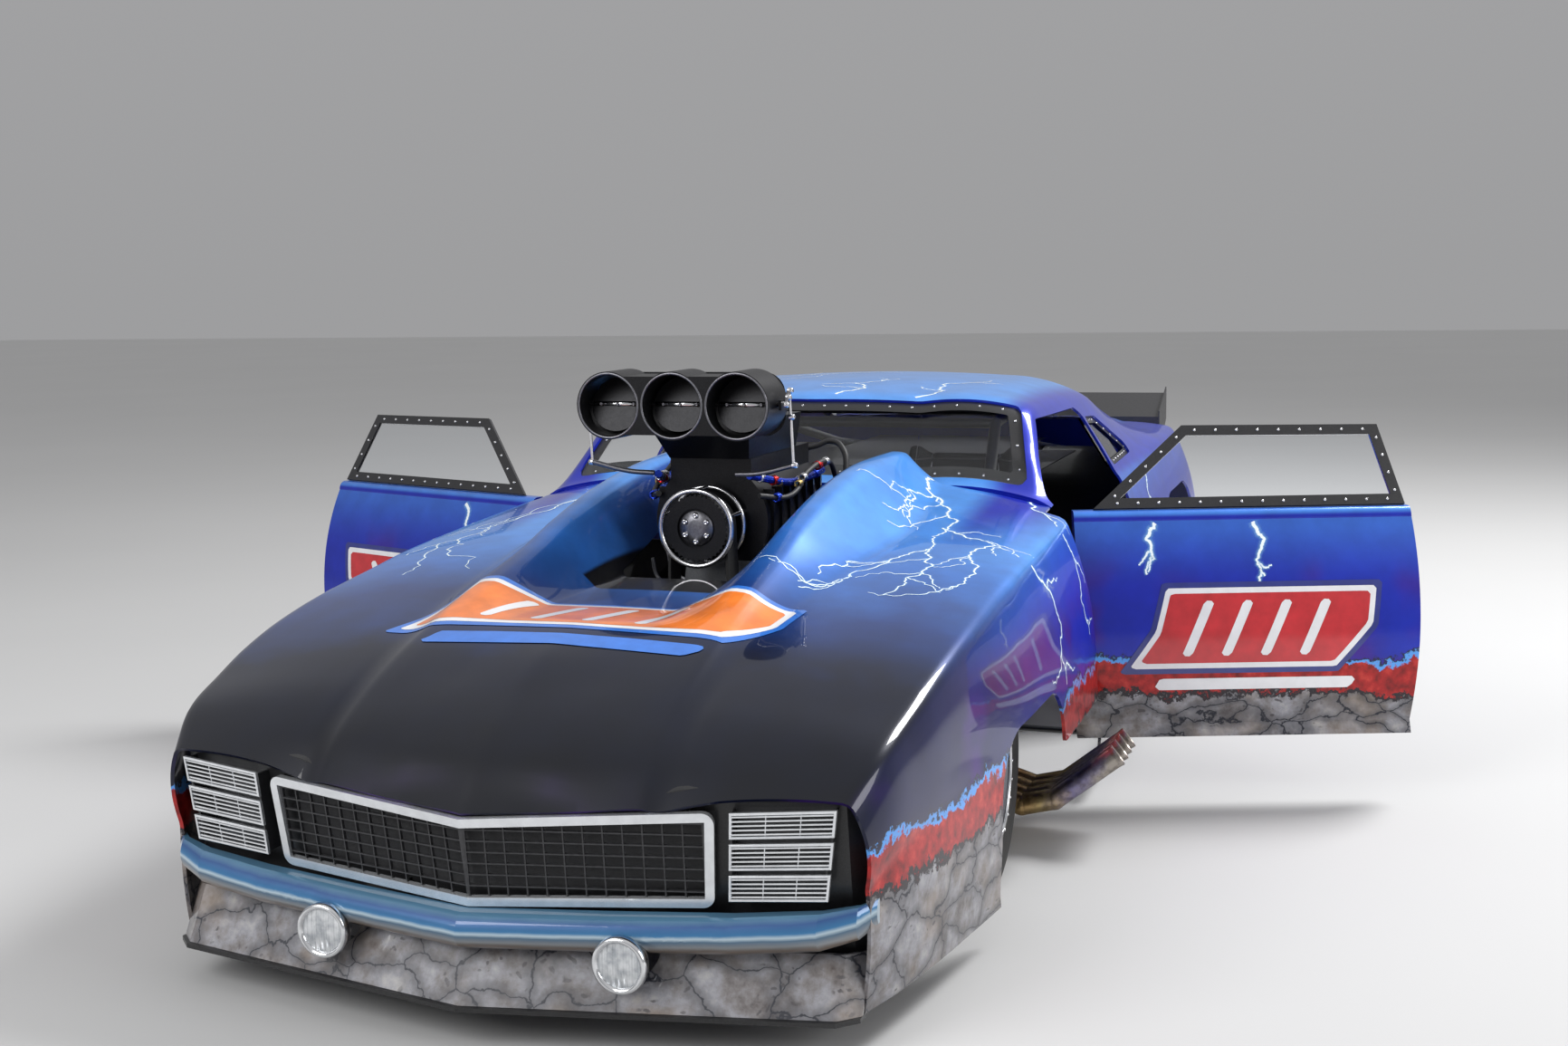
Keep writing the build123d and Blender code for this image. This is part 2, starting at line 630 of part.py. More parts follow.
with BuildPart() as nose_panel:
    add(nose_band(26, 34, 190, 700, 850))
    add(left_posts.part)
    mirror(left_posts.part, about=Plane.YZ)
    add(clip_cavity, mode=Mode.INTERSECT)
    with BuildSketch(Plane.XZ.offset(-NOSE_Y - 300)):
        Polygon([(-500, 462), (0, 455), (500, 462), (500, 325), (-500, 325)], align=None)
    extrude(amount=600, mode=Mode.SUBTRACT)
    add(nose_band(34, 500, 150, 740, 850), mode=Mode.SUBTRACT)
save(nose_panel.part, "nose_panel")

# Wheels: revolved about the axle line, with x across the car and r out from the axle


def wheel_plane(x, station, z):
    """A plane for wheel profiles: across the car and up, through the wheel's centre."""
    return Plane(origin=at(x, station, z), x_dir=(1, 0, 0), z_dir=(0, -1, 0))


def tyre(x, station, radius, width, shoulder, rim):
    """A tyre with a flat tread, chamfered shoulders and straight walls."""
    half = ((width / 2 - shoulder, radius), (width / 2, radius - shoulder), (width / 2, rim))
    with BuildPart() as ring:
        with BuildSketch(wheel_plane(x, station, radius)):
            Polygon([(-out, r) for out, r in half] + [(out, r) for out, r in half[::-1]], align=None)
        revolve(axis=Axis(at(x, station, radius), (1, 0, 0)))
    return ring.part


def wheel(x, station, z, rim, width, face_x, hub, bore, bore_depth, holes, hole_ring, hole_radius):
    """A rim with a disc, lightening holes and a hub whose blind bore opens towards the car."""
    half = width / 2
    with BuildPart() as body:
        with BuildSketch(wheel_plane(x, station, z)):
            Polygon([(-half, rim), (-half, rim - 8), (half, rim - 8), (half, rim)], align=None)
            with Locations((face_x, (rim - 4) / 2 + bore)):
                Rectangle(10, rim - 4 - 2 * bore)
            Polygon([(-half, hub), (-half, bore), (-half + bore_depth, bore), (-half + bore_depth, 0),
                     (face_x + 30, 0), (face_x + 30, hub)], align=None)
        revolve(axis=Axis(at(x, station, z), (1, 0, 0)))
        with BuildSketch(Plane(origin=at(x + face_x - 40, station, z), x_dir=(0, 1, 0), z_dir=(1, 0, 0))):
            with PolarLocations(hole_ring, holes):
                Circle(hole_radius)
        extrude(amount=80, mode=Mode.SUBTRACT)
    return body.part


FRONT_X = FRONT_TRACK / 2
REAR_X = REAR_TRACK / 2
SPINDLE = 20.0
SPINDLE_LENGTH = 60.0
REAR_SNOUT = 30.0
REAR_SNOUT_LENGTH = 110.0

FRONT_SHOULDER = 18.0
REAR_SHOULDER = 26.0
left_front_tyre = tyre(FRONT_X, FRONT_AXLE, FRONT_RADIUS, FRONT_WIDTH, FRONT_SHOULDER, FRONT_RIM)
left_rear_tyre = tyre(REAR_X, REAR_AXLE, REAR_RADIUS, REAR_WIDTH, REAR_SHOULDER, REAR_RIM)
left_front_wheel = wheel(FRONT_X, FRONT_AXLE, FRONT_RADIUS, FRONT_RIM, FRONT_WIDTH - 22, 22, 42,
                         SPINDLE + RUNNING, SPINDLE_LENGTH + 1, 10, 112, 24)
left_rear_wheel = wheel(REAR_X, REAR_AXLE, REAR_RADIUS, REAR_RIM, REAR_WIDTH - 24, 60, 62,
                        REAR_SNOUT + RUNNING, REAR_SNOUT_LENGTH + 1, 5, 128, 38)
for piece, name in ((left_front_tyre, "front_tyre"), (left_rear_tyre, "rear_tyre"),
                    (left_front_wheel, "front_wheel"), (left_rear_wheel, "rear_wheel")):
    save(piece, f"left_{name}")
    save(mirror(piece, about=Plane.YZ, mode=Mode.PRIVATE), f"right_{name}")

# Front suspension and steering
KNUCKLE_FOOT = 215.0
KNUCKLE_TOP = 405.0
KNUCKLE_RADIUS = 30.0
TOWER_Z = 757.0
STRUT_TOP = TOWER_Z - TOWER_TUBE - SEAT_GAP
ARM_SPREAD = 110.0
ARM_Z = 190.0
STEER_ARM = 120.0
STEER_ARM_Z = 262.0
RACK_Z = STEER_ARM_Z + 26
RACK_AHEAD = FRONT_AXLE - STEER_ARM
RACK_SETBACK = 50.0
RACK_BAR = RACK_AHEAD + RACK_SETBACK

with BuildPart() as left_knuckle:
    with BuildSketch(Plane(origin=at(KINGPIN_X, FRONT_AXLE, KNUCKLE_FOOT))):
        Circle(KNUCKLE_RADIUS)
    extrude(amount=KNUCKLE_TOP - KNUCKLE_FOOT)
    with BuildSketch(across(KINGPIN_X, FRONT_AXLE, FRONT_RADIUS)):
        Circle(SPINDLE)
    extrude(amount=FRONT_X - (FRONT_WIDTH - 22) / 2 + SPINDLE_LENGTH - KINGPIN_X)
    with Locations(at(KINGPIN_X - 6, FRONT_AXLE - STEER_ARM / 2, STEER_ARM_Z)):
        Box(22, STEER_ARM + 22, 14)
    with Locations(at(KINGPIN_X + 24, FRONT_AXLE + 74, FRONT_RADIUS)):
        Box(16, 128, 60)
save(left_knuckle.part, "left_knuckle")
save(mirror(left_knuckle.part, about=Plane.YZ, mode=Mode.PRIVATE), "right_knuckle")

with BuildPart() as left_suspension:
    with BuildSketch(Plane(origin=at(KINGPIN_X, FRONT_AXLE, KNUCKLE_TOP + SEAT_GAP))):
        Circle(22)
    extrude(amount=STRUT_TOP - KNUCKLE_TOP - SEAT_GAP)
    with BuildSketch(Plane(origin=at(KINGPIN_X, FRONT_AXLE, 520))):
        Circle(38)
    extrude(amount=STRUT_TOP - 520)
    for shift in (-ARM_SPREAD, ARM_SPREAD):
        add(tube_path([at(KINGPIN_X, FRONT_AXLE, KNUCKLE_FOOT - 30),
                       at(RAIL_X + TUBE + 16, FRONT_AXLE + shift, ARM_Z)], 13))
        with Locations(at(RAIL_X + TUBE + 12 + SEAT_GAP, FRONT_AXLE + shift, ARM_Z)):
            Box(24, 44, 44)
    with BuildSketch(Plane(origin=at(KINGPIN_X, FRONT_AXLE, KNUCKLE_FOOT - 52))):
        Circle(28)
    extrude(amount=52 - SEAT_GAP)
save(both_sides(left_suspension.part), "front_suspension")

with BuildPart() as steering_rack:
    with BuildSketch(across(-200, RACK_AHEAD, RACK_Z)):
        Circle(24)
    extrude(amount=400)
    for side in (1, -1):
        with Locations(at(side * 150, RACK_AHEAD + (RACK_SETBACK - CROSS_TUBE) / 2, RACK_Z)):
            Box(30, RACK_SETBACK - CROSS_TUBE - 2 * SEAT_GAP, 24)
    with BuildSketch(across(-200, RACK_AHEAD, RACK_Z)):
        Circle(12 + RUNNING)
    extrude(amount=400, mode=Mode.SUBTRACT)
save(steering_rack.part, "steering_rack")

with BuildPart() as tie_rods:
    reach = KINGPIN_X - 6
    with BuildSketch(across(-reach, RACK_AHEAD, RACK_Z)):
        Circle(12)
    extrude(amount=2 * reach)
    for side in (1, -1):
        with BuildSketch(Plane(origin=at(side * reach, RACK_AHEAD, STEER_ARM_Z + 10))):
            Circle(14)
        extrude(amount=31)
save(tie_rods.part, "tie_rods")

# Chassis: round tubes through the frame's nodes, mirrored from the left
COIL_STATION = 4230.0
SILL_WALL_X = 963.6
LINK_X = 330.0
LINK_PLATE = LINK_X + 14 + SEAT_GAP
# Left half of the frame: tube radius, then its points
LEFT_TUBES = (
    (TUBE, (at(RAIL_X, 560, RAIL_Z), at(RAIL_X, MAIN_HOOP + 60, RAIL_Z), at(REAR_RAIL_X, 3700, 560),
            at(REAR_RAIL_X, 4860, 560))),
    (18, (at(RAIL_X, 560, RAIL_Z), at(300, 330, 240))),
    (16, (at(300, 330, 240), at(300, 330, 470), at(520, FRONT_AXLE, TOWER_Z), at(600, COWL_HOOP + 60, 800))),
    (TOWER_TUBE, (at(RAIL_X, FRONT_AXLE, RAIL_Z), at(520, FRONT_AXLE, TOWER_Z),
                  at(KINGPIN_X + 30, FRONT_AXLE, TOWER_Z))),
    (18, (at(CAGE_X, COWL_HOOP, RAIL_Z), at(CAGE_X, MAIN_HOOP, RAIL_Z))),
    (COWL_TUBE, (at(CAGE_X, COWL_HOOP, RAIL_Z), at(CAGE_X, COWL_HOOP, 640), at(600, COWL_HOOP + 60, 800),
          at(545, 2620, 1090), at(520, MAIN_HOOP, 1105))),
    (14, (at(RAIL_X, RACK_BAR, RAIL_Z), at(RAIL_X, RACK_BAR, RACK_Z))),
    (TUBE, (at(CAGE_X, MAIN_HOOP, RAIL_Z), at(CAGE_X, MAIN_HOOP, 800), at(520, MAIN_HOOP, 1105))),
    (16, (at(CAGE_X, COWL_HOOP, 560), at(CAGE_X, MAIN_HOOP, 300))),
    (10, (at(CAGE_X, 2260, RAIL_Z), at(SILL_WALL_X, 2260, RAIL_Z))),
    (10, (at(CAGE_X, 2920, RAIL_Z), at(SILL_WALL_X, 2920, RAIL_Z))),
    (17, (at(505, MAIN_HOOP, 1105), at(REAR_RAIL_X, 3900, 900), at(REAR_RAIL_X, 4860, 780),
          at(REAR_RAIL_X, 4860, 560))),
)
CROSS_TUBES = (
    (300, 330, 240), (300, 330, 470), (RAIL_X, 700, RAIL_Z), (CAGE_X, COWL_HOOP, RAIL_Z),
    (600, COWL_HOOP + 60, 800), (CAGE_X, MAIN_HOOP, RAIL_Z), (CAGE_X, MAIN_HOOP, 700),
    (520, MAIN_HOOP, 1105), (REAR_RAIL_X, COIL_STATION, 856), (REAR_RAIL_X, 4860, 560),
    (REAR_RAIL_X, 4860, 780), (545, 2620, 1090),
    (RAIL_X, RACK_BAR, RACK_Z),
)
with BuildPart() as left_frame:
    for radius, points in LEFT_TUBES:
        add(tube_path(points, radius))
    with Locations(at(LINK_PLATE + 5, 3435, 375)):
        Box(10, 90, 220)
with BuildPart() as frame_tubes:
    add(left_frame.part)
    mirror(left_frame.part, about=Plane.YZ)
    for x, station, z in CROSS_TUBES:
        add(tube_path([at(-x, station, z), at(x, station, z)], CROSS_TUBE))

# The roll cage is a piece of its own, parted from the frame above its feet and outside its hoops
CAGE_FOOT_Z = RAIL_Z + 45
CAGE_OVERHANG = 60.0
CAGE_HEIGHT = 1000.0


def cage_room(gap):
    """The block of space that the roll cage fills, grown by a gap."""
    with BuildPart() as room:
        with Locations(at(0, (COWL_HOOP + MAIN_HOOP) / 2, CAGE_FOOT_Z + CAGE_HEIGHT / 2)):
            Box(2 * (CAGE_X + 100 + gap), MAIN_HOOP - COWL_HOOP + 2 * (CAGE_OVERHANG + gap),
                CAGE_HEIGHT + 2 * gap)
    return room.part


save(frame_tubes.part & cage_room(0), "roll_cage")
save(frame_tubes.part - cage_room(SEAT_GAP), "chassis")

# Engine. Half section of the block: side offset and height, from the sump up
BLOCK_HALF = ((130, 120), (150, 240), (215, 300), (330, 560), (250, 640), (130, 560))
with BuildPart() as engine_block:
    with BuildSketch(Plane.XZ.offset(-(NOSE_Y + BLOCK_FRONT))):
        Polygon([(side * x, z) for side, half in ((1, BLOCK_HALF), (-1, BLOCK_HALF[::-1])) for x, z in half],
                align=None)
    extrude(amount=-BLOCK_LENGTH)
save(engine_block.part, "engine_block")

with BuildPart() as left_cover:
    with BuildSketch(Plane(origin=at(290.2, BLOCK_FRONT + BLOCK_LENGTH / 2, 600.2), z_dir=(80, 0, 80))):
        Rectangle(500, 92)
    extrude(amount=70)
    fillet(left_cover.edges().filter_by(Axis.Y), 12)
save(both_sides(left_cover.part), "valve_covers")

with BuildPart() as manifold:
    with BuildSketch(Plane.XZ.offset(-(NOSE_Y + BLOCK_FRONT + 20))):
        Polygon([(-128, 560 + SEAT_GAP), (128, 560 + SEAT_GAP), (128, 640), (105, BLOWER_BASE - SEAT_GAP),
                 (-105, BLOWER_BASE - SEAT_GAP), (-128, 640)], align=None)
    extrude(amount=-(BLOCK_LENGTH - 60))
save(manifold.part, "intake_manifold")

with BuildPart() as blower:
    with BuildSketch(Plane.XZ.offset(-(NOSE_Y + BLOWER_FRONT))):
        with BuildLine():
            middle_z = (BLOWER_BASE + BLOWER_TOP) / 2 - 20
            Line((-115, BLOWER_BASE), (115, BLOWER_BASE))
            Line((115, BLOWER_BASE), (150, BLOWER_BASE + 40))
            ThreePointArc((150, BLOWER_BASE + 40), (166, middle_z), (120, BLOWER_TOP - 60))
            Line((120, BLOWER_TOP - 60), (120, BLOWER_TOP))
            Line((120, BLOWER_TOP), (-120, BLOWER_TOP))
            Line((-120, BLOWER_TOP), (-120, BLOWER_TOP - 60))
            ThreePointArc((-120, BLOWER_TOP - 60), (-166, middle_z), (-150, BLOWER_BASE + 40))
            Line((-150, BLOWER_BASE + 40), (-115, BLOWER_BASE))
        make_face()
    extrude(amount=-BLOWER_LENGTH)
    for rib in range(7):
        with Locations(at(0, BLOWER_FRONT + 40 + rib * 70, middle_z)):
            Box(344, 12, 150)
    with BuildSketch(Plane(origin=at(0, BLOWER_FRONT, PULLEY_Z), z_dir=(0, -1, 0))):
        Circle(46)
    extrude(amount=BLOWER_FRONT - PULLEY_STATION - BELT_WIDTH / 2 - SEAT_GAP)
save(blower.part, "blower_case")


def cog(z, radius, bore):
    """A toothed pulley that faces forwards."""
    with BuildPart() as pulley:
        with BuildSketch(Plane(origin=at(0, PULLEY_STATION + BELT_WIDTH / 2, z), z_dir=(0, -1, 0))):
            Circle(radius)
            Circle(bore, mode=Mode.SUBTRACT)
        extrude(amount=BELT_WIDTH)
        with BuildSketch(Plane(origin=at(0, PULLEY_STATION + BELT_WIDTH / 2, z), z_dir=(0, -1, 0))):
            Circle(bore)
        extrude(amount=18)
    return pulley.part


with BuildPart() as blower_pulleys:
    add(cog(PULLEY_Z, PULLEY_RADIUS, 50))
    add(cog(CRANK_Z, CRANK_RADIUS, 60))
    with BuildSketch(Plane(origin=at(0, BLOCK_FRONT, CRANK_Z), z_dir=(0, -1, 0))):
        Circle(40)
    extrude(amount=BLOCK_FRONT - PULLEY_STATION - BELT_WIDTH / 2)
save(blower_pulleys.part, "blower_pulleys")

with BuildPart() as blower_belt:
    with BuildSketch(Plane(origin=at(0, PULLEY_STATION + BELT_WIDTH / 2 - 2, 0), z_dir=(0, -1, 0),
                           x_dir=(1, 0, 0))):
        with BuildLine():
            Polyline((-PULLEY_RADIUS, PULLEY_Z), (-CRANK_RADIUS, CRANK_Z), (CRANK_RADIUS, CRANK_Z),
                     (PULLEY_RADIUS, PULLEY_Z), close=True)
        make_face()
        with Locations((0, PULLEY_Z)):
            Circle(PULLEY_RADIUS)
        with Locations((0, CRANK_Z)):
            Circle(CRANK_RADIUS)
        offset(amount=8)
        with BuildLine():
            Polyline((-PULLEY_RADIUS, PULLEY_Z), (-CRANK_RADIUS, CRANK_Z), (CRANK_RADIUS, CRANK_Z),
                     (PULLEY_RADIUS, PULLEY_Z), close=True)
        make_face(mode=Mode.SUBTRACT)
        with Locations((0, PULLEY_Z)):
            Circle(PULLEY_RADIUS + SEAT_GAP, mode=Mode.SUBTRACT)
        with Locations((0, CRANK_Z)):
            Circle(CRANK_RADIUS + SEAT_GAP, mode=Mode.SUBTRACT)
    extrude(amount=BELT_WIDTH - 4)
save(blower_belt.part, "blower_belt")

GUARD_TUBE = 7.0
with BuildPart() as belt_guard:
    for shift in (-BELT_WIDTH / 2 - 7, BELT_WIDTH / 2 + 7):
        with BuildSketch(Plane(origin=at(GUARD_RADIUS, PULLEY_STATION + shift, PULLEY_Z))):
            Circle(GUARD_TUBE)
        revolve(axis=Axis(at(0, PULLEY_STATION + shift, PULLEY_Z), (0, 1, 0)))
    for angle in (20, 90, 160, 235, 305):
        x = GUARD_RADIUS * cos(radians(angle))
        z = PULLEY_Z + GUARD_RADIUS * sin(radians(angle))
        add(tube_path([at(x, PULLEY_STATION - BELT_WIDTH / 2 - 7, z), at(x, BLOWER_FRONT - SEAT_GAP, z)], 5))
save(belt_guard.part, "belt_guard")

# Injector hat: three round throats in a row, on a hood that narrows down to the blower
HAT_WIDTH = 2 * (HAT_BORE_PITCH + HAT_RIM_RADIUS)
HAT_BASE = BLOWER_TOP + SEAT_GAP
SHAFT_RADIUS = 6.0
SHAFT_STATION = HAT_FRONT + 70
LEVER_OUT = 24.0
HAT_THROAT = 150.0
HAT_BORE_DEPTH = 190.0
HAT_LENGTH = 560.0


def hat_plane(back, z):
    """An upright plane across the hat, at a distance behind its front and a height."""
    return Plane(origin=at(0, HAT_FRONT + back, z), z_dir=(0, 1, 0), x_dir=(-1, 0, 0))


with BuildPart() as injector_hat:
    with BuildSketch(hat_plane(0, HAT_BORE_Z)):
        with GridLocations(HAT_BORE_PITCH, 1, 3, 1):
            Circle(HAT_RIM_RADIUS)
        Rectangle(HAT_WIDTH - 2 * HAT_RIM_RADIUS, 2 * HAT_RIM_RADIUS - 26)
    extrude(amount=HAT_THROAT)
    with BuildSketch(hat_plane(HAT_THROAT, HAT_BORE_Z)):
        with Locations((0, -4)):
            RectangleRounded(HAT_WIDTH - 10, 2 * HAT_RIM_RADIUS - 10, 60)
    with BuildSketch(hat_plane(HAT_LENGTH, HAT_BORE_Z - 60)):
        RectangleRounded(240, 70, 30)
    loft(ruled=True)
    with BuildSketch(Plane.XY.offset(HAT_BASE)):
        with Locations((0, NOSE_Y + BLOWER_FRONT + 190)):
            Rectangle(236, 400)
    with BuildSketch(Plane.XY.offset(HAT_BORE_Z - 60)):
        with Locations((0, NOSE_Y + BLOWER_FRONT + 130)):
            Rectangle(300, 440)
    loft(ruled=True)
    with BuildSketch(hat_plane(0, HAT_BORE_Z)):
        with GridLocations(HAT_BORE_PITCH, 1, 3, 1):
            Circle(HAT_BORE_RADIUS)
    extrude(amount=HAT_BORE_DEPTH, mode=Mode.SUBTRACT)
    with BuildSketch(across(0, SHAFT_STATION, HAT_BORE_Z)):
        Circle(SHAFT_RADIUS + SEAT_GAP)
    extrude(amount=HAT_WIDTH, both=True, mode=Mode.SUBTRACT)
save(injector_hat.part, "injector_hat")

with BuildPart() as butterflies:
    for column in (-1, 0, 1):
        with BuildSketch(Plane(origin=at(column * HAT_BORE_PITCH, SHAFT_STATION, HAT_BORE_Z),
                               z_dir=(0, -1, 0.35))):
            Circle(HAT_BORE_RADIUS - 6)
        extrude(amount=2, both=True)
    with BuildSketch(across(-HAT_WIDTH / 2 - LEVER_OUT, SHAFT_STATION, HAT_BORE_Z)):
        Circle(SHAFT_RADIUS)
    extrude(amount=HAT_WIDTH + 2 * LEVER_OUT)
    for side in (1, -1):
        with Locations(at(side * (HAT_WIDTH / 2 + LEVER_OUT - 10), SHAFT_STATION + 10, HAT_BORE_Z)):
            Box(8, 60, 26)
save(butterflies.part, "throttle_plates")

# Headers: four tubes a side that run down, out under the fender and up at the ends
with BuildPart() as left_headers:
    for port in range(4):
        s_port = BLOCK_FRONT + 85 + port * PORT_PITCH
        s_out = FRONT_AXLE + 430 + port * HEADER_PITCH
        add(tube_path([
            at(280, s_port, 480), at(430, s_port, 420), at(660, s_out, 175), at(845, s_out, 118),
            at(935, s_out + 10, 138), at(1100, s_out + 55, 262)], HEADER_RADIUS))
    with BuildSketch(Plane.XZ.offset(-(NOSE_Y + BLOCK_FRONT))):
        Polygon([(-400, 0), (330, 560), (215, 300), (150, 240), (130, 0)], align=None)
    extrude(amount=-BLOCK_LENGTH, mode=Mode.SUBTRACT)
save(both_sides(left_headers.part), "headers")

# Driveline: gearbox and shaft on the middle line
GEARBOX_FRONT = BLOCK_FRONT + BLOCK_LENGTH + SEAT_GAP
SHAFT_FRONT = 2750.0
SHAFT_END = 3930.0
GEARBOX_Z = 350.0
with BuildPart() as driveline:
    with BuildSketch(Plane.YZ):
        Polygon([(NOSE_Y + s, GEARBOX_Z + r) for s, r in (
            (GEARBOX_FRONT, 0), (GEARBOX_FRONT, 155), (2080, 155), (2140, 125), (2520, 112),
            (SHAFT_FRONT, 70), (SHAFT_FRONT, 0))], align=None)
    revolve(axis=Axis(at(0, 0, GEARBOX_Z), (0, 1, 0)))
    shaft_start = at(0, SHAFT_FRONT - 10, GEARBOX_Z)
    with BuildSketch(Plane(origin=shaft_start, z_dir=at(0, SHAFT_END, REAR_RADIUS) - shaft_start)):
        Circle(45)
    extrude(amount=(at(0, SHAFT_END, REAR_RADIUS) - shaft_start).length)
save(driveline.part, "driveline")

# Rear axle: tube housing with a round centre, shelves and link plates, snouts in the wheels' hubs
HUB_FACE = REAR_X - (REAR_WIDTH - 24) / 2
AXLE_TUBE = 42.0
SHELF_Z = REAR_RADIUS - 20
WHEELIE_PLATE = 225.7
with BuildPart() as rear_axle:
    with BuildSketch(across(-HUB_FACE + 8, REAR_AXLE, REAR_RADIUS)):
        Circle(AXLE_TUBE)
    extrude(amount=2 * HUB_FACE - 16)
    with BuildSketch(across(-HUB_FACE - REAR_SNOUT_LENGTH, REAR_AXLE, REAR_RADIUS)):
        Circle(REAR_SNOUT)
    extrude(amount=2 * (HUB_FACE + REAR_SNOUT_LENGTH))
    with BuildSketch(wheel_plane(0, REAR_AXLE, REAR_RADIUS)):
        Polygon([(-150, 0), (-150, 60), (-105, 135), (-60, 155), (60, 155), (105, 135), (150, 60), (150, 0)],
                align=None)
    revolve(axis=Axis(at(0, REAR_AXLE, REAR_RADIUS), (1, 0, 0)))
    with BuildSketch(Plane(origin=at(0, SHAFT_END + 3.4, REAR_RADIUS), z_dir=(0, 1, 0))):
        Circle(58)
    extrude(amount=60)
    for side in (1, -1):
        with Locations(at(side * (LINK_PLATE + 5), REAR_AXLE - 30, REAR_RADIUS - 20)):
            Box(10, 150, 270)
        with Locations(at(side * (WHEELIE_PLATE - 5), REAR_AXLE + 60, REAR_RADIUS - 60)):
            Box(10, 120, 190)
        with Locations(at(side * 300, REAR_AXLE + 96, SHELF_Z - 6)):
            Box(70, 150, 12)
        with BuildSketch(across(side * (HUB_FACE - 26) - 5, REAR_AXLE, REAR_RADIUS)):
            Circle(150)
        extrude(amount=10)
save(rear_axle.part, "rear_axle")

# Rear links and springs
LINKS = (((3420, 300), (4020, 300)), ((3450, 450), (4020, 520)))
with BuildPart() as left_links:
    for (s0, z0), (s1, z1) in LINKS:
        add(tube_path([at(LINK_X, s0, z0), at(LINK_X, s1, z1)], 11))
        for s, z in ((s0, z0), (s1, z1)):
            with BuildSketch(across(LINK_X - 14, s, z)):
                Circle(20)
            extrude(amount=28)
    damper_top = 856 - CROSS_TUBE - SEAT_GAP
    for radius, low, high in ((24, SHELF_Z + SEAT_GAP, damper_top), (42, SHELF_Z + 70, 760)):
        with BuildSketch(Plane(origin=at(300, COIL_STATION, low))):
            Circle(radius)
        extrude(amount=high - low)
save(both_sides(left_links.part), "rear_suspension")

# Wheelie bar: two rails on each side run back to a pair of small wheels on one axle
WHEELIE_Z = 115.0
WHEELIE_ARM = WHEELIE_PLATE + 13 + SEAT_GAP
WHEELIE_END = 140.0
with BuildPart() as left_wheelie:
    add(tube_path([at(WHEELIE_ARM, 4180, 318), at(WHEELIE_ARM, 4290, 302), at(WHEELIE_END, 5500, 128)], 13))
    add(tube_path([at(WHEELIE_ARM, 4180, 402), at(WHEELIE_ARM, 4290, 380), at(WHEELIE_END, 5420, 190),
                   at(WHEELIE_END, 5500, 128)], 13))
    add(tube_path([at(203, 4800, 231), at(203, 4800, 294)], 9))
    with BuildSketch(across(WHEELIE_END - 6, WHEELIE_AXLE, WHEELIE_Z)):
        with Locations((-50, 4)):
            RectangleRounded(140, 44, 16)
        Circle(10 + RUNNING, mode=Mode.SUBTRACT)
    extrude(amount=12)
with BuildPart() as wheelie_bar:
    add(left_wheelie.part)
    mirror(left_wheelie.part, about=Plane.YZ)
    for x, station, z in (
            (203, 4800, 231), (203, 4800, 294), (WHEELIE_END, 5420, 190), (WHEELIE_END, 5480, 131)):
        add(tube_path([at(-x, station, z), at(x, station, z)], 11))
save(wheelie_bar.part, "wheelie_bar")

with BuildPart() as wheelie_wheels:
    with BuildSketch(across(-200, WHEELIE_AXLE, WHEELIE_Z)):
        Circle(10)
    extrude(amount=400)
    for side in (1, -1):
        with BuildSketch(across(side * 172 - 19, WHEELIE_AXLE, WHEELIE_Z)):
            Circle(WHEELIE_RADIUS)
        extrude(amount=38)
save(wheelie_wheels.part, "wheelie_wheels")

# Cabin: floor, tunnel, firewall, rear bulkhead, shelf and wheel tubs in thin sheet
SHEET = 3.0
FLOOR_Z = RAIL_Z + TUBE + SEAT_GAP
FLOOR_FRONT = CLIP_END + SEAT_GAP
BULKHEAD = MAIN_HOOP + TUBE + 12
FLOOR_MIDDLE = (FLOOR_FRONT + BULKHEAD) / 2
FLOOR_HALF = CAGE_X - TUBE - 10
TUNNEL_HALF = 168.0
TUNNEL_TOP = 545.0
SHELF_TOP = 883.0
TUB_X = 425.0
TUB_RADIUS = REAR_RADIUS + 13
TUB_FOOT = 60.0
with BuildPart() as tinwork:
    for side in (1, -1):
        with Locations(at(side * (FLOOR_HALF + TUNNEL_HALF) / 2, FLOOR_MIDDLE, FLOOR_Z + SHEET / 2)):
            Box(FLOOR_HALF - TUNNEL_HALF, BULKHEAD - FLOOR_FRONT, SHEET)
        with Locations(at(side * (TUNNEL_HALF + SHEET / 2), FLOOR_MIDDLE, (FLOOR_Z + TUNNEL_TOP) / 2)):
            Box(SHEET, BULKHEAD - FLOOR_FRONT, TUNNEL_TOP - FLOOR_Z)
    with Locations(at(0, FLOOR_MIDDLE, TUNNEL_TOP - SHEET / 2)):
        Box(2 * TUNNEL_HALF, BULKHEAD - FLOOR_FRONT, SHEET)
    for station, top, middle in ((FLOOR_FRONT, 750, 898), (BULKHEAD, SHELF_TOP, SHELF_TOP)):
        with BuildSketch(Plane.XZ.offset(-(NOSE_Y + station))):
            Polygon([(-FLOOR_HALF, FLOOR_Z), (-TUNNEL_HALF, FLOOR_Z), (-TUNNEL_HALF, TUNNEL_TOP - SHEET),
                     (TUNNEL_HALF, TUNNEL_TOP - SHEET), (TUNNEL_HALF, FLOOR_Z), (FLOOR_HALF, FLOOR_Z),
                     (FLOOR_HALF, top), (330, top), (310, middle), (-310, middle), (-330, top),
                     (-FLOOR_HALF, top)], align=None)
        extrude(amount=-SHEET)
    with BuildSketch(Plane.XY.offset(SHELF_TOP - SHEET)):
        Polygon([(x, NOSE_Y + s) for x, s in (
            (FLOOR_HALF, BULKHEAD), (FLOOR_HALF, 3850), (368, 3850), (368, 4400), (-368, 4400), (-368, 3850),
            (-FLOOR_HALF, 3850), (-FLOOR_HALF, BULKHEAD))], align=None)
    extrude(amount=SHEET)
save(tinwork.part, "cabin_tinwork")

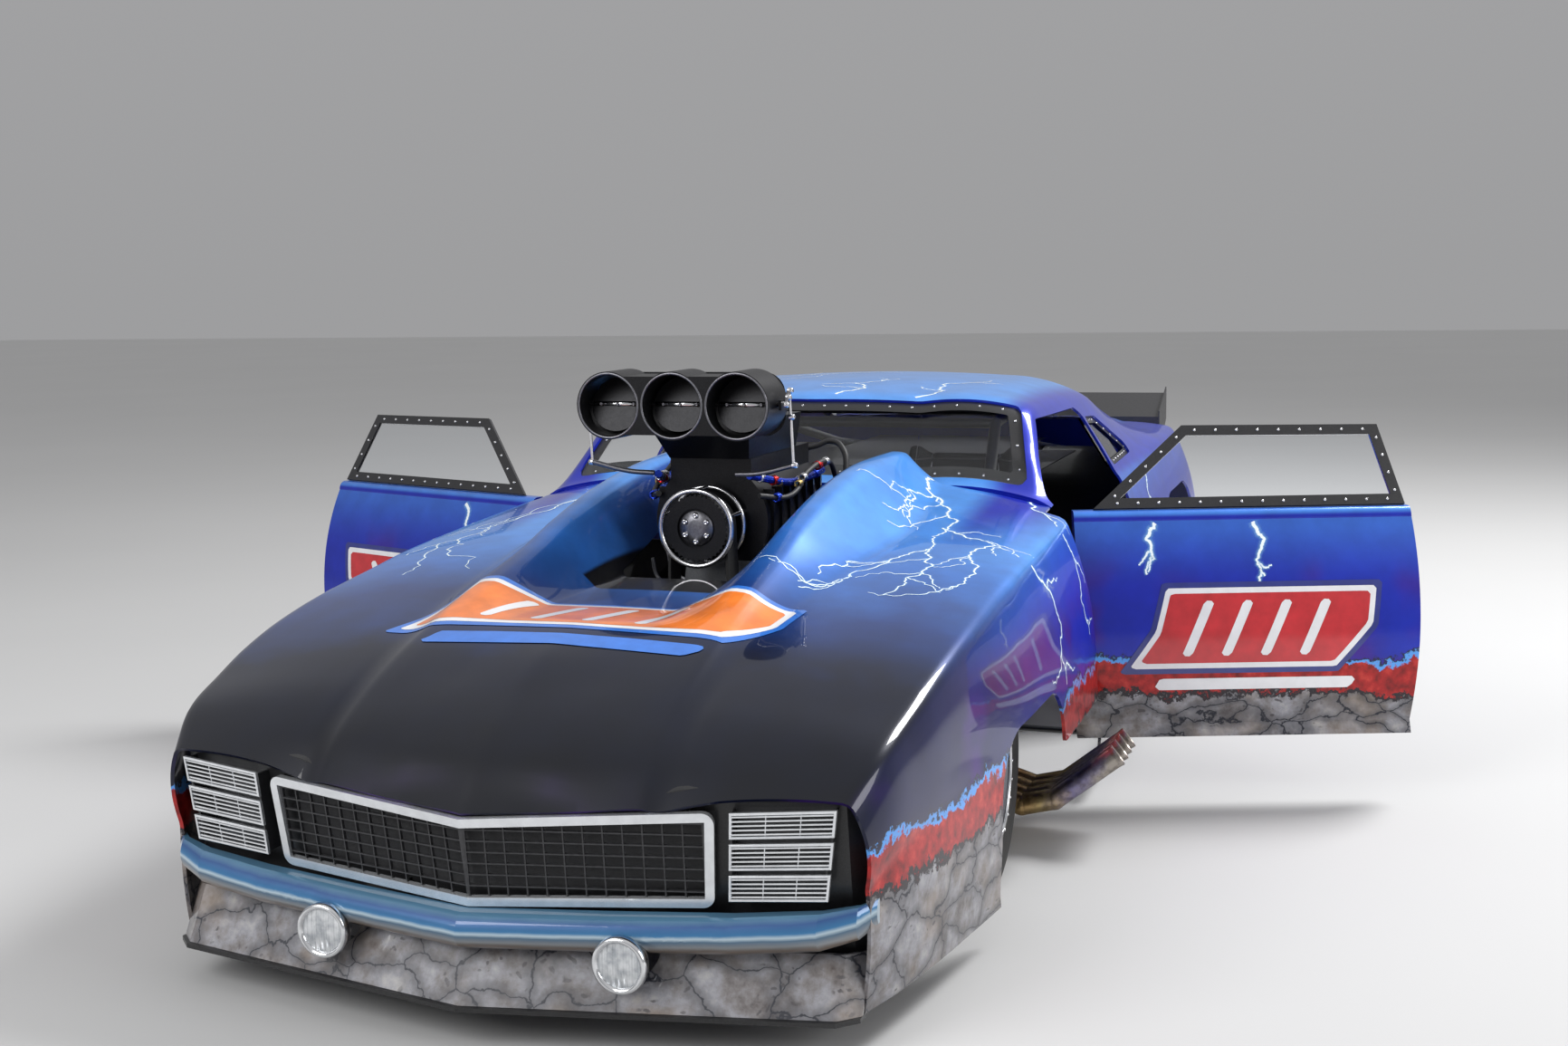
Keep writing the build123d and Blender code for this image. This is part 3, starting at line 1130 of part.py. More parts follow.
with BuildPart() as left_tub:
    with BuildSketch(across(TUB_X, REAR_AXLE, REAR_RADIUS)):
        Circle(TUB_RADIUS)
        with Locations((0, TUB_FOOT - TUB_RADIUS)):
            Rectangle(3 * TUB_RADIUS, 2 * TUB_RADIUS, mode=Mode.SUBTRACT)
    extrude(amount=SHEET)
    with BuildSketch(across(TUB_X, REAR_AXLE, REAR_RADIUS)):
        Circle(TUB_RADIUS + SHEET)
        Circle(TUB_RADIUS, mode=Mode.SUBTRACT)
        with Locations((0, TUB_FOOT - TUB_RADIUS)):
            Rectangle(3 * TUB_RADIUS, 2 * TUB_RADIUS, mode=Mode.SUBTRACT)
    extrude(amount=340)
    tab = TUB_X - REAR_RAIL_X - TUBE - SEAT_GAP
    for shift in (-300, 300):
        with Locations(at(TUB_X - tab / 2, REAR_AXLE + shift, 560)):
            Box(tab, 40, 24)
save(both_sides(left_tub.part), "wheel_tubs")

# Driver's place on the car's left
SEAT_X = 375.0
SEAT_FOOT = FLOOR_Z + SHEET + SEAT_GAP
with BuildPart() as seat:
    with BuildSketch(Plane.YZ.offset(SEAT_X - 200)):
        with BuildLine():
            Polyline(*[(NOSE_Y + s, z) for s, z in (
                (2560, SEAT_FOOT), (2880, SEAT_FOOT), (2925, 500), (2965, 880), (2935, 965),
                (2895, 960), (2868, 700), (2810, 340), (2560, 400))], close=True)
        make_face()
    extrude(amount=400)
    with BuildSketch(Plane.YZ.offset(SEAT_X - 165)):
        with BuildLine():
            Polyline(*[(NOSE_Y + s, z) for s, z in (
                (2500, 300), (2800, 240), (2850, 500), (2900, 800), (2800, 800), (2740, 480), (2500, 430))],
                close=True)
        make_face()
    extrude(amount=330, mode=Mode.SUBTRACT)
save(seat.part, "seat")

WHEEL_RING = 150.0
with BuildPart() as steering_wheel:
    ring_plane = Plane(origin=at(SEAT_X, 2440, 735), x_dir=(1, 0, 0), z_dir=(0, 1, 0.4))
    with BuildSketch(Plane(origin=ring_plane.from_local_coords((WHEEL_RING, 0, 0)), x_dir=ring_plane.x_dir,
                           z_dir=-ring_plane.y_dir)):
        Circle(13)
    revolve(axis=Axis(ring_plane.origin, ring_plane.z_dir))
    with BuildSketch(ring_plane):
        Circle(34)
        with PolarLocations(0, 3, start_angle=30):
            with Locations((WHEEL_RING / 2, 0)):
                Rectangle(WHEEL_RING, 22)
    extrude(amount=3, both=True)
    add(tube_path([ring_plane.origin, at(SEAT_X, FLOOR_FRONT + SHEET + 6, 602)], 15))
save(steering_wheel.part, "steering_wheel")

# Rear end
REAR_FACE = TAIL + SEAT_GAP
with BuildPart() as rear_spoiler:
    with BuildSketch(Plane.YZ):
        Polygon([(NOSE_Y + s, z) for s, z in (
            (REAR_FACE, 800), (REAR_FACE, 925), (5230, 1018), (5233, 1006), (REAR_FACE + 10, 913),
            (REAR_FACE + 10, 800))], align=None)
    extrude(amount=755, both=True)
    for side in (1, -1):
        with BuildSketch(Plane.YZ.offset(side * 755)):
            Polygon([(NOSE_Y + s, z) for s, z in (
                (REAR_FACE, 800), (REAR_FACE, 950), (5235, 1045), (5235, 900), (5120, 830))], align=None)
        extrude(amount=side * 5)
save(rear_spoiler.part, "rear_spoiler")

with BuildPart() as tail_lamps:
    for side in (1, -1):
        for column in range(3):
            with Locations(at(side * (370 + 120 * column), REAR_FACE + 8, 690)):
                Box(108, 16, 86)
save(tail_lamps.part, "tail_lamps")

with BuildPart() as rear_bumper:
    with BuildSketch(Plane.XY.offset(500)):
        with BuildLine():
            Polyline(*[(x, NOSE_Y + s) for x, s in (
                (-895, REAR_FACE), (-870, REAR_FACE + 40), (-600, REAR_FACE + 58), (600, REAR_FACE + 58),
                (870, REAR_FACE + 40), (895, REAR_FACE))], close=True)
        make_face()
    extrude(amount=96)
    fillet(rear_bumper.faces().sort_by(Axis.Y)[-1].edges().filter_by(Axis.X), 14)
save(rear_bumper.part, "rear_bumper")

with BuildPart() as parachute_packs:
    for side in (1, -1):
        with BuildSketch(Plane.XZ.offset(-(NOSE_Y + REAR_FACE))):
            with Locations((side * 210, 412)):
                RectangleRounded(190, 150, 30)
        with BuildSketch(Plane.XZ.offset(-(NOSE_Y + REAR_FACE + 170))):
            with Locations((side * 210, 412)):
                RectangleRounded(160, 120, 40)
        loft(ruled=True)
save(parachute_packs.part, "parachute_packs")
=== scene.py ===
"""Looks of a doors-open drag racing coupe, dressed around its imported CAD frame.

Lengths are metres in the row frame: +X the car's left, -Y the way it faces, +Z up. A "station" is a
distance behind the grille's top centre, as in the part's source.
"""
import logging
import math
import random
from collections.abc import Callable, Sequence
from dataclasses import dataclass, field
from enum import Enum

import bpy
import numpy as np
from mathutils import Matrix, Vector
from mathutils.bvhtree import BVHTree


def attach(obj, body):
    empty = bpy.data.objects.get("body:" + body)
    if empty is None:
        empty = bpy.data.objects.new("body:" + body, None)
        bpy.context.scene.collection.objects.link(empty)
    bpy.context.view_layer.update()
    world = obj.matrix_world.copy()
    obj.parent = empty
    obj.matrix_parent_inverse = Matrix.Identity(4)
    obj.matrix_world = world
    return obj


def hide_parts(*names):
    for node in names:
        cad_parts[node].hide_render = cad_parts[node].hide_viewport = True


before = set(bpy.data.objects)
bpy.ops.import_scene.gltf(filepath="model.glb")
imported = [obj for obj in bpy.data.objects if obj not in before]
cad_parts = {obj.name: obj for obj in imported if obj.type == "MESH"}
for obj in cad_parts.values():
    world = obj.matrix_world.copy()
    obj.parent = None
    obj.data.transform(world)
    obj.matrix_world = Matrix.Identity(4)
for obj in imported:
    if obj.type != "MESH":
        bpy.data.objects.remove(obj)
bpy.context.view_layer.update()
LOG = logging.getLogger("drag_coupe")

Array = np.ndarray
Piece = bpy.types.Object
Paint = bpy.types.Material
Socket = bpy.types.NodeSocket
Feed = Socket | float | tuple
Colour = tuple[float, float, float]
Point2 = tuple[float, float]

NOSE_Y = -2.79
CAR = "car"
DOOR_SWING = math.radians(71.0)
HINGE_X = 0.945
HINGE_STATION = 2.06
ABOVE = 1.6
BESIDE = 1.5
FRONT_AXLE = 1.17
REAR_AXLE = 4.09


class Side(Enum):
    """Which side of the car a piece is on, as the sign of its X."""

    LEFT = 1
    RIGHT = -1

    @property
    def word(self) -> str:
        """The side's name as CAD nodes spell it."""
        return self.name.lower()


# materials


@dataclass(frozen=True)
class Finish:
    """A plain finish: one colour with fine mottling, grain in its gloss and a little relief.

    Args:
        name: Material name.
        colour: Base colour, linear.
        metallic: 0 for paint and plastic, 1 for bare metal.
        roughness: Mean roughness.
        coat: Weight of a clear coat.
        grain: Size of the mottling, in metres.
        mottle: How far the colour varies, as a share.
        relief: Height of the surface's relief, in metres.
        stretch: Scale of the grain along X, Y and Z, for brushed looks.
    """

    name: str
    colour: Colour
    metallic: float = 0.0
    roughness: float = 0.5
    coat: float = 0.0
    grain: float = 0.01
    mottle: float = 0.15
    relief: float = 0.0002
    stretch: Colour = (1.0, 1.0, 1.0)


class Graph:
    """A material's node graph, written with short calls."""

    def __init__(self, name: str) -> None:
        """Starts an empty graph in a new material."""
        self.material = bpy.data.materials.new(name)
        self.material.use_nodes = True
        self.tree = self.material.node_tree
        self.tree.nodes.clear()
        self.coordinates = self.add("TexCoord").outputs["Object"]

    def add(self, kind: str, inputs: dict | None = None, **settings: str | bool) -> bpy.types.Node:
        """Adds a node, sets its properties, and fills or links its inputs.

        Args:
            kind: Node type without its ShaderNode prefix.
            inputs: Values or outputs, by socket.
            settings: Properties of the node.

        Returns:
            The node.
        """
        node = self.tree.nodes.new("ShaderNode" + kind)
        for key, value in settings.items():
            setattr(node, key, value)
        for key, value in (inputs or {}).items():
            socket = node.inputs[key]
            if isinstance(value, Socket):
                self.tree.links.new(value, socket)
            elif isinstance(value, tuple) and len(value) == 3 and socket.type == "RGBA":
                socket.default_value = (*value, 1.0)
            else:
                socket.default_value = value
        return node

    def math(self, operation: str, a: Feed, b: Feed = 0.0) -> Socket:
        """One arithmetic step."""
        return self.add("Math", {0: a, 1: b}, operation=operation).outputs[0]

    def step(self, value: Feed, low: float, high: float) -> Socket:
        """A smooth rise from 0 at low to 1 at high, or a fall where low is above high.

        Args:
            value: What rises.
            low: Start.
            high: End.

        Returns:
            The output.
        """
        flip = low > high
        inputs = {"Value": value, 1: min(low, high), 2: max(low, high), 3: float(flip), 4: float(not flip)}
        return self.add("MapRange", inputs, interpolation_type="SMOOTHSTEP").outputs[0]

    def noise(self, size: float, detail: float = 4.0, where: Socket | None = None,
              rough: float = 0.55) -> Socket:
        """Fractal noise whose features are about the given size."""
        inputs = {"Vector": where or self.coordinates, "Scale": 1.0 / size, "Detail": detail,
                  "Roughness": rough}
        return self.add("TexNoise", inputs).outputs["Fac"]

    def ramp(self, value: Feed, stops: Sequence[tuple[float, Colour]]) -> Socket:
        """A colour ramp through the given stops.

        Args:
            value: Position on the ramp.
            stops: Positions and colours, in order.

        Returns:
            The colour.
        """
        node = self.add("ValToRGB", {"Fac": value})
        bands = node.color_ramp.elements
        for position, _ in stops[1:-1]:
            bands.new(position)
        for band, (position, colour) in zip(bands, stops):
            band.position, band.color = position, (*colour, 1.0)
        return node.outputs["Color"]

    def mix(self, share: Feed, a: Feed, b: Feed, blend: str = "MIX") -> Socket:
        """Mixes two colours."""
        return self.add("Mix", {0: share, 6: a, 7: b}, data_type="RGBA", blend_type=blend).outputs[2]

    def spread(self, value: Feed, low: float, high: float) -> Socket:
        """A value between 0 and 1 spread evenly from low to high."""
        return self.add("MapRange", {"Value": value, 3: low, 4: high}).outputs[0]

    def split(self, vector: Socket) -> bpy.types.NodeOutputs:
        """The X, Y and Z of a vector."""
        return self.add("SeparateXYZ", {0: vector}).outputs

    def ragged(self, value: Feed, size: float, detail: float, reach: float, rough: float = 0.55) -> Socket:
        """A value made ragged by noise that reaches half of a height to each side."""
        tear = self.math("MULTIPLY", self.math("SUBTRACT", self.noise(size, detail, rough=rough), 0.5), reach)
        return self.math("ADD", value, tear)

    def bump(self, height: Feed, distance: float) -> Socket:
        """A bumped normal from a height between 0 and 1."""
        return self.add("Bump", {"Height": height, "Distance": distance, "Strength": 1.0}).outputs["Normal"]

    def scaled(self, stretch: Colour) -> Socket:
        """Object coordinates scaled along each axis."""
        return self.add("Mapping", {"Vector": self.coordinates, "Scale": stretch}).outputs["Vector"]

    def finish(self, **inputs: Feed) -> Paint:
        """Ends the graph in one principled shader; underscores stand for spaces in its socket names.

        Args:
            inputs: Values or outputs, by socket.

        Returns:
            The material.
        """
        named = {key.replace("_", " ").title().replace("Ior", "IOR"): value for key, value in inputs.items()}
        shader = self.add("BsdfPrincipled", named)
        output = self.tree.nodes.new("ShaderNodeOutputMaterial")
        self.tree.links.new(shader.outputs[0], output.inputs[0])
        return self.material


def plain(finish: Finish) -> Paint:
    """Builds a plain finish: mottled colour, varied gloss and a fine relief.

    Args:
        finish: What it looks like.

    Returns:
        The material.
    """
    graph = Graph(finish.name)
    where = graph.scaled(finish.stretch)
    cloud = graph.noise(finish.grain, 5.0, where)
    dark = tuple(c * (1 - finish.mottle) for c in finish.colour)
    light = tuple(min(1.0, c * (1 + finish.mottle) + 0.004) for c in finish.colour)
    colour = graph.ramp(cloud, ((0.3, dark), (0.7, light)))
    low, high = finish.roughness * 0.8, min(1.0, finish.roughness * 1.2)
    gloss = graph.spread(graph.noise(finish.grain * 3, 3.0, where), low, high)
    return graph.finish(base_color=colour, metallic=finish.metallic, roughness=gloss, coat_weight=finish.coat,
                        coat_roughness=0.04, normal=graph.bump(cloud, finish.relief))


FINISHES: dict[str, Finish] = {f.name: f for f in (
    Finish("satin_black", (0.012, 0.012, 0.014), 0.0, 0.42, 0.2, 0.004, 0.3, 0.00008),
    Finish("anodised_black", (0.01, 0.01, 0.012), 0.6, 0.38, 0.0, 0.003, 0.3, 0.0001),
    Finish("cage_black", (0.014, 0.015, 0.018), 0.0, 0.35, 0.3, 0.02, 0.2, 0.0001),
    Finish("carbon_panel", (0.01, 0.01, 0.011), 0.0, 0.5, 0.3, 0.006, 0.4, 0.0002),
    Finish("cast_alloy", (0.34, 0.35, 0.37), 1.0, 0.48, 0.0, 0.003, 0.15, 0.0004),
    Finish("polished_alloy", (0.78, 0.79, 0.81), 1.0, 0.16, 0.0, 0.02, 0.05, 0.00005),
    Finish("brushed_alloy", (0.62, 0.63, 0.66), 1.0, 0.32, 0.0, 0.02, 0.12, 0.00005, (1.0, 1.0, 14.0)),
    Finish("bright_steel", (0.7, 0.7, 0.72), 1.0, 0.22, 0.0, 0.004, 0.1, 0.00005),
    Finish("dark_steel", (0.2, 0.2, 0.22), 1.0, 0.38, 0.0, 0.006, 0.2, 0.0001),
    Finish("blue_anodised", (0.02, 0.06, 0.55), 0.9, 0.28, 0.0, 0.004, 0.15, 0.00005),
    Finish("red_anodised", (0.55, 0.02, 0.02), 0.9, 0.28, 0.0, 0.004, 0.15, 0.00005),
    Finish("brass_fitting", (0.62, 0.45, 0.16), 1.0, 0.3, 0.0, 0.004, 0.15, 0.00005),
    Finish("belt_rubber", (0.013, 0.013, 0.013), 0.0, 0.75, 0.0, 0.003, 0.3, 0.0003),
    Finish("hose_rubber", (0.016, 0.016, 0.018), 0.0, 0.55, 0.0, 0.002, 0.3, 0.0003),
    Finish("lamp_red", (0.32, 0.012, 0.01), 0.0, 0.18, 0.8, 0.01, 0.1, 0.0001),
    Finish("pack_cloth", (0.018, 0.018, 0.022), 0.0, 0.92, 0.0, 0.0015, 0.5, 0.0005),
    Finish("frame_silver", (0.78, 0.8, 0.83), 0.75, 0.24, 0.8, 0.03, 0.08, 0.00005),
    Finish("grille_grey", (0.035, 0.035, 0.038), 0.2, 0.5, 0.2, 0.01, 0.3, 0.0001),
    Finish("banner_navy", (0.012, 0.022, 0.2), 0.0, 0.3, 1.0, 0.05, 0.12, 0.00002),
    Finish("banner_white", (0.8, 0.8, 0.82), 0.0, 0.3, 1.0, 0.05, 0.05, 0.00002),
    Finish("banner_red", (0.52, 0.012, 0.02), 0.0, 0.3, 1.0, 0.05, 0.15, 0.00002),
    Finish("banner_orange", (0.8, 0.19, 0.02), 0.0, 0.3, 1.0, 0.08, 0.22, 0.00002),
    Finish("banner_blue", (0.02, 0.16, 0.62), 0.0, 0.3, 1.0, 0.05, 0.12, 0.00002),
    Finish("wheelie_red", (0.4, 0.03, 0.02), 0.0, 0.4, 0.2, 0.004, 0.2, 0.0002),
)}
MADE: dict[str, Paint] = {}


def material_of(look: str) -> Paint:
    """The material of a finish or a recipe, built at its first use.

    Args:
        look: Its name in FINISHES or RECIPES.

    Returns:
        The material.
    """
    if look not in MADE:
        MADE[look] = plain(FINISHES[look]) if look in FINISHES else RECIPES[look]()
    return MADE[look]


@dataclass(frozen=True)
class BodyPaint:
    """Airbrushed body paint: a fade along the car, lighter on surfaces that face up and darker on the flanks
    as painted top light and shade, a near-black hood trough as painted shade and reflection, a torn red band
    and cracked stone low on the flanks.

    Args:
        name: Material name.
        swing: Turn, in radians about the hinge, that takes an open door's points back to its closed place.
        side: The door's side, or None for a piece that doesn't swing.
    """

    name: str
    swing: float = 0.0
    side: Side | None = None

    def build(self) -> Paint:
        """Builds the node graph.

        Returns:
            The material.
        """
        graph = Graph(self.name)
        if self.side is not None:
            centre = (self.side.value * HINGE_X, NOSE_Y + HINGE_STATION, 0.0)
            graph.coordinates = graph.add(
                "VectorRotate", {"Vector": graph.coordinates, "Center": centre, "Angle": self.swing},
                rotation_type="Z_AXIS").outputs[0]
        place = graph.split(graph.coordinates)
        height = place["Z"]
        station = graph.math("SUBTRACT", place["Y"], NOSE_Y)
        facing = graph.split(graph.add("NewGeometry").outputs["Normal"])["Z"]
        cloud = graph.noise(0.35, 3.0)
        along = graph.math("ADD", graph.math("DIVIDE", station, 5.0), graph.math("MULTIPLY", cloud, 0.09))
        # Lighter copy of the fade for surfaces that face up: painted top light.
        top = graph.ramp(along, (
            (0.06, (0.002, 0.003, 0.008)), (0.13, (0.003, 0.006, 0.022)), (0.2, (0.007, 0.04, 0.2)),
            (0.27, (0.03, 0.16, 0.56)), (0.35, (0.07, 0.3, 0.82)), (0.72, (0.07, 0.3, 0.8)),
            (1.0, (0.02, 0.09, 0.46))))
        # Darker copy of the same fade for the flanks: painted shade.
        shaded_flank = graph.ramp(along, (
            (0.05, (0.004, 0.006, 0.02)), (0.22, (0.008, 0.012, 0.12)), (0.4, (0.01, 0.022, 0.42)),
            (1.0, (0.008, 0.03, 0.4))))
        violet = graph.step(graph.noise(0.28, 2.0), 0.52, 0.72)
        violet = graph.math("MULTIPLY", violet, graph.step(height, 0.8, 0.55))
        shaded_flank = graph.mix(violet, shaded_flank, (0.06, 0.006, 0.22))
        across = graph.math("ABSOLUTE", place["X"])
        pillar = graph.math("MULTIPLY", graph.step(across, 0.6, 0.7), graph.step(height, 0.84, 0.9))
        # Surfaces that face up take the lighter copy, the pillars excepted: painted top light over the
        # flanks' painted shade.
        painted_top_light = graph.math("MULTIPLY", graph.step(facing, 0.2, 0.72), graph.math("SUBTRACT", 1.0, pillar))
        paint = graph.mix(painted_top_light, shaded_flank, top)
        # The recessed hood trough between the scoop's ridges goes near-black: painted shade and reflection.
        painted_trough_shade = graph.math("MULTIPLY", graph.step(across, 0.215, 0.205), graph.step(height, 0.86, 0.83))
        painted_trough_shade = graph.math("MULTIPLY", painted_trough_shade, graph.step(station, 1.045, 1.055))
        painted_trough_shade = graph.math("MULTIPLY", painted_trough_shade, graph.step(station, 2.1, 2.05))
        paint = graph.mix(painted_trough_shade, paint, (0.004, 0.004, 0.006))
        gleam = graph.ramp(graph.noise(0.09, 4.0), ((0.35, (0.82, 0.82, 0.82)), (0.7, (1.15, 1.15, 1.15))))
        paint = graph.mix(0.6, paint, gleam, "MULTIPLY")
        paint = self._low(graph, height, paint)
        flake = graph.noise(0.0006, 1.0)
        return graph.finish(base_color=paint, metallic=0.25,
                            roughness=graph.spread(flake, 0.24, 0.38), coat_weight=0.62,
                            coat_roughness=0.02, specular_ior_level=0.22,
                            normal=graph.bump(graph.noise(0.012, 2.0), 0.00004))

    @staticmethod
    def _low(graph: Graph, height: Socket, paint: Socket) -> Socket:
        """Adds the torn red band, its blue edge and the cracked stone under it.

        Args:
            graph: The graph.
            height: Height of the shaded point.
            paint: Colour above the band.

        Returns:
            The colour.
        """
        ragged = graph.ragged(graph.ragged(height, 0.05, 7.0, 0.13, 0.7), 0.3, 2.0, 0.1)
        red = graph.ramp(graph.noise(0.03, 6.0), ((0.3, (0.14, 0.003, 0.004)), (0.55, (0.42, 0.012, 0.012)),
                                                  (0.75, (0.6, 0.05, 0.035))))
        stone = stone_colour(graph)
        low = graph.mix(graph.step(ragged, 0.326, 0.332), stone, red)
        seam = graph.math("MULTIPLY", graph.step(ragged, 0.318, 0.324), graph.step(ragged, 0.338, 0.332))
        low = graph.mix(seam, low, (0.02, 0.015, 0.02))
        edge = graph.mix(graph.step(ragged, 0.44, 0.446), (0.1, 0.35, 0.85), (0.01, 0.01, 0.03))
        low = graph.mix(graph.step(ragged, 0.425, 0.431), low, edge)
        return graph.mix(graph.step(ragged, 0.448, 0.454), low, paint)


def stone_colour(graph: Graph) -> Socket:
    """Airbrushed stone: mottled greys and browns, pock marks, and a few long dark cracks with soft edges.

    Args:
        graph: The graph.

    Returns:
        The colour.
    """
    drift = graph.add("TexNoise", {"Vector": graph.coordinates, "Scale": 9.0, "Detail": 5.0}).outputs["Color"]
    drift = graph.add("VectorMath", {0: drift, 1: (0.5, 0.5, 0.5)}, operation="SUBTRACT").outputs[0]
    drift = graph.add("VectorMath", {0: drift, "Scale": 0.13}, operation="SCALE").outputs[0]
    bent = graph.add("VectorMath", {0: graph.scaled((1.0, 0.8, 1.5)), 1: drift}, operation="ADD").outputs[0]
    cell = graph.add("TexVoronoi", {"Vector": bent, "Scale": 6.5}, feature="DISTANCE_TO_EDGE")
    cell = cell.outputs["Distance"]
    crack = graph.step(cell, 0.004, 0.02)
    shade = graph.step(cell, 0.0, 0.22)
    pits = graph.add("TexVoronoi", {"Vector": bent, "Scale": 34.0}).outputs["Distance"]
    pits = graph.step(pits, 0.3, 0.16)
    pits = graph.math("MULTIPLY", pits, graph.step(graph.noise(0.1, 3.0), 0.5, 0.62))
    body = graph.ramp(graph.noise(0.07, 8.0, rough=0.65), (
        (0.28, (0.06, 0.045, 0.042)), (0.42, (0.19, 0.175, 0.175)), (0.56, (0.31, 0.31, 0.34)),
        (0.74, (0.52, 0.5, 0.48))))
    earth = graph.math("MULTIPLY", graph.step(graph.noise(0.22, 3.0), 0.45, 0.65), 0.5)
    body = graph.mix(earth, body, (0.3, 0.23, 0.17))
    body = graph.mix(shade, graph.mix(0.62, body, (0.05, 0.05, 0.06)), body)
    body = graph.mix(graph.math("MULTIPLY", pits, 0.75), body, (0.04, 0.035, 0.04))
    return graph.mix(crack, (0.012, 0.014, 0.024), body)


def stone_paint() -> Paint:
    """Cracked stone under clear coat, for the valance."""
    graph = Graph("stone_paint")
    return graph.finish(base_color=stone_colour(graph), roughness=0.4, coat_weight=0.9, coat_roughness=0.03)


def faux_chrome() -> Paint:
    """Airbrushed chrome on the bumper: sky above, a white line, then brown ground to dark.

    Returns:
        The material.
    """
    graph = Graph("faux_chrome")
    normal = graph.split(graph.add("NewGeometry").outputs["Normal"])["Z"]
    tilt = graph.math("ADD", graph.math("MULTIPLY", normal, 0.5), 0.5)
    tilt = graph.math("ADD", tilt, graph.math("MULTIPLY", graph.noise(0.12, 3.0), 0.1))
    sky = graph.ramp(tilt, (
        (0.08, (0.03, 0.028, 0.03)), (0.22, (0.16, 0.12, 0.09)), (0.36, (0.22, 0.24, 0.26)),
        (0.5, (0.05, 0.12, 0.2)), (0.58, (0.42, 0.54, 0.62)), (0.66, (0.04, 0.19, 0.4)),
        (0.86, (0.008, 0.07, 0.24)), (1.0, (0.1, 0.24, 0.38))))
    return graph.finish(base_color=sky, metallic=0.2, roughness=0.3, coat_weight=1.0, coat_roughness=0.03,
                        normal=graph.bump(graph.noise(0.02, 3.0), 0.00006))


def clear_pane() -> Paint:
    """Clear polycarbonate with faint wipe marks.

    Returns:
        The material.
    """
    graph = Graph("polycarbonate")
    marks = graph.noise(0.05, 5.0, graph.scaled((1.0, 4.0, 1.0)))
    gloss = graph.add("MapRange", {"Value": marks, 1: 0.45, 2: 0.8, 3: 0.0, 4: 0.06}).outputs[0]
    return graph.finish(base_color=(0.96, 0.98, 1.0), roughness=gloss, ior=1.3, transmission_weight=1.0,
                        specular_ior_level=0.5)


def header_steel() -> Paint:
    """Heat-tinted steel: blue and violet where it is hottest near the head, straw towards the tips.

    Returns:
        The material.
    """
    graph = Graph("header_steel")
    out = graph.math("ABSOLUTE", graph.split(graph.coordinates)["X"])
    heat = graph.math("ADD", graph.math("MULTIPLY", graph.math("SUBTRACT", out, 0.3), 1.15),
                      graph.math("MULTIPLY", graph.noise(0.07, 4.0), 0.22))
    colour = graph.ramp(heat, (
        (0.1, (0.1, 0.08, 0.1)), (0.35, (0.1, 0.12, 0.3)), (0.52, (0.22, 0.1, 0.24)),
        (0.66, (0.42, 0.24, 0.1)), (0.8, (0.5, 0.38, 0.18)), (0.92, (0.22, 0.2, 0.34)),
        (1.0, (0.4, 0.36, 0.32))))
    soot = graph.step(graph.noise(0.02, 6.0), 0.42, 0.66)
    colour = graph.mix(graph.math("MULTIPLY", soot, 0.45), colour, (0.05, 0.04, 0.04))
    return graph.finish(base_color=colour, metallic=1.0, roughness=graph.spread(soot, 0.28, 0.5),
                        normal=graph.bump(graph.noise(0.006, 5.0), 0.0003))


def tyre_rubber(name: str, scuff: float) -> Paint:
    """Black rubber with moulding grain and a dusty, scuffed bloom.

    Args:
        name: Material name.
        scuff: Weight of the bloom.

    Returns:
        The material.
    """
    graph = Graph(name)
    dust = graph.math("MULTIPLY", graph.step(graph.noise(0.08, 6.0), 0.45, 0.8), scuff)
    colour = graph.mix(dust, (0.014, 0.014, 0.014), (0.1, 0.095, 0.09))
    return graph.finish(base_color=colour, roughness=0.72, normal=graph.bump(graph.noise(0.003, 4.0), 0.0004))


def seat_cloth() -> Paint:
    """Black quilted cloth with stitched lines across.

    Returns:
        The material.
    """
    graph = Graph("seat_cloth")
    weave = graph.noise(0.0012, 2.0)
    lines = graph.math("SINE", graph.math("MULTIPLY", graph.split(graph.coordinates)["Z"], 95.0))
    stitch = graph.step(lines, 0.93, 0.99)
    colour = graph.mix(stitch, (0.016, 0.016, 0.019), (0.05, 0.05, 0.055))
    height = graph.math("SUBTRACT", weave, stitch)
    return graph.finish(base_color=colour, roughness=0.88, normal=graph.bump(height, 0.0006))


def bolt_paint() -> Paint:
    """Airbrushed lightning: a white core in a pale blue glow that fades out towards the ribbon's edges.

    Returns:
        The material.
    """
    graph = Graph("lightning_paint")
    across = graph.split(graph.add("UVMap", uv_map="across_along").outputs["UV"])["X"]
    out = graph.math("ABSOLUTE", graph.math("SUBTRACT", across, 0.5))
    rough = graph.ragged(out, 0.02, 4.0, 0.06)
    core = graph.step(rough, 0.135, 0.085)
    glow = graph.math("POWER", graph.step(rough, 0.5, 0.0), 2.2)
    colour = graph.mix(core, (0.3, 0.66, 1.0), (0.9, 0.98, 1.0))
    alpha = graph.math("MAXIMUM", core, graph.math("MULTIPLY", glow, 0.6))
    return graph.finish(base_color=colour, alpha=alpha, roughness=0.3, coat_weight=0.6, coat_roughness=0.03)


def lens_glass() -> Paint:
    """A frosted lens with upright flutes, mottled from grey to near white.

    Returns:
        The material.
    """
    graph = Graph("fog_lens")
    flutes = graph.math("SINE", graph.math("MULTIPLY", graph.split(graph.coordinates)["X"], 520.0))
    colour = graph.ramp(graph.noise(0.03, 3.0), (
        (0.3, (0.3, 0.33, 0.36)), (0.6, (0.72, 0.74, 0.76)), (0.8, (0.92, 0.93, 0.94))))
    return graph.finish(base_color=colour, roughness=0.12, metallic=0.35, coat_weight=1.0,
                        coat_roughness=0.02, normal=graph.bump(flutes, 0.0012))


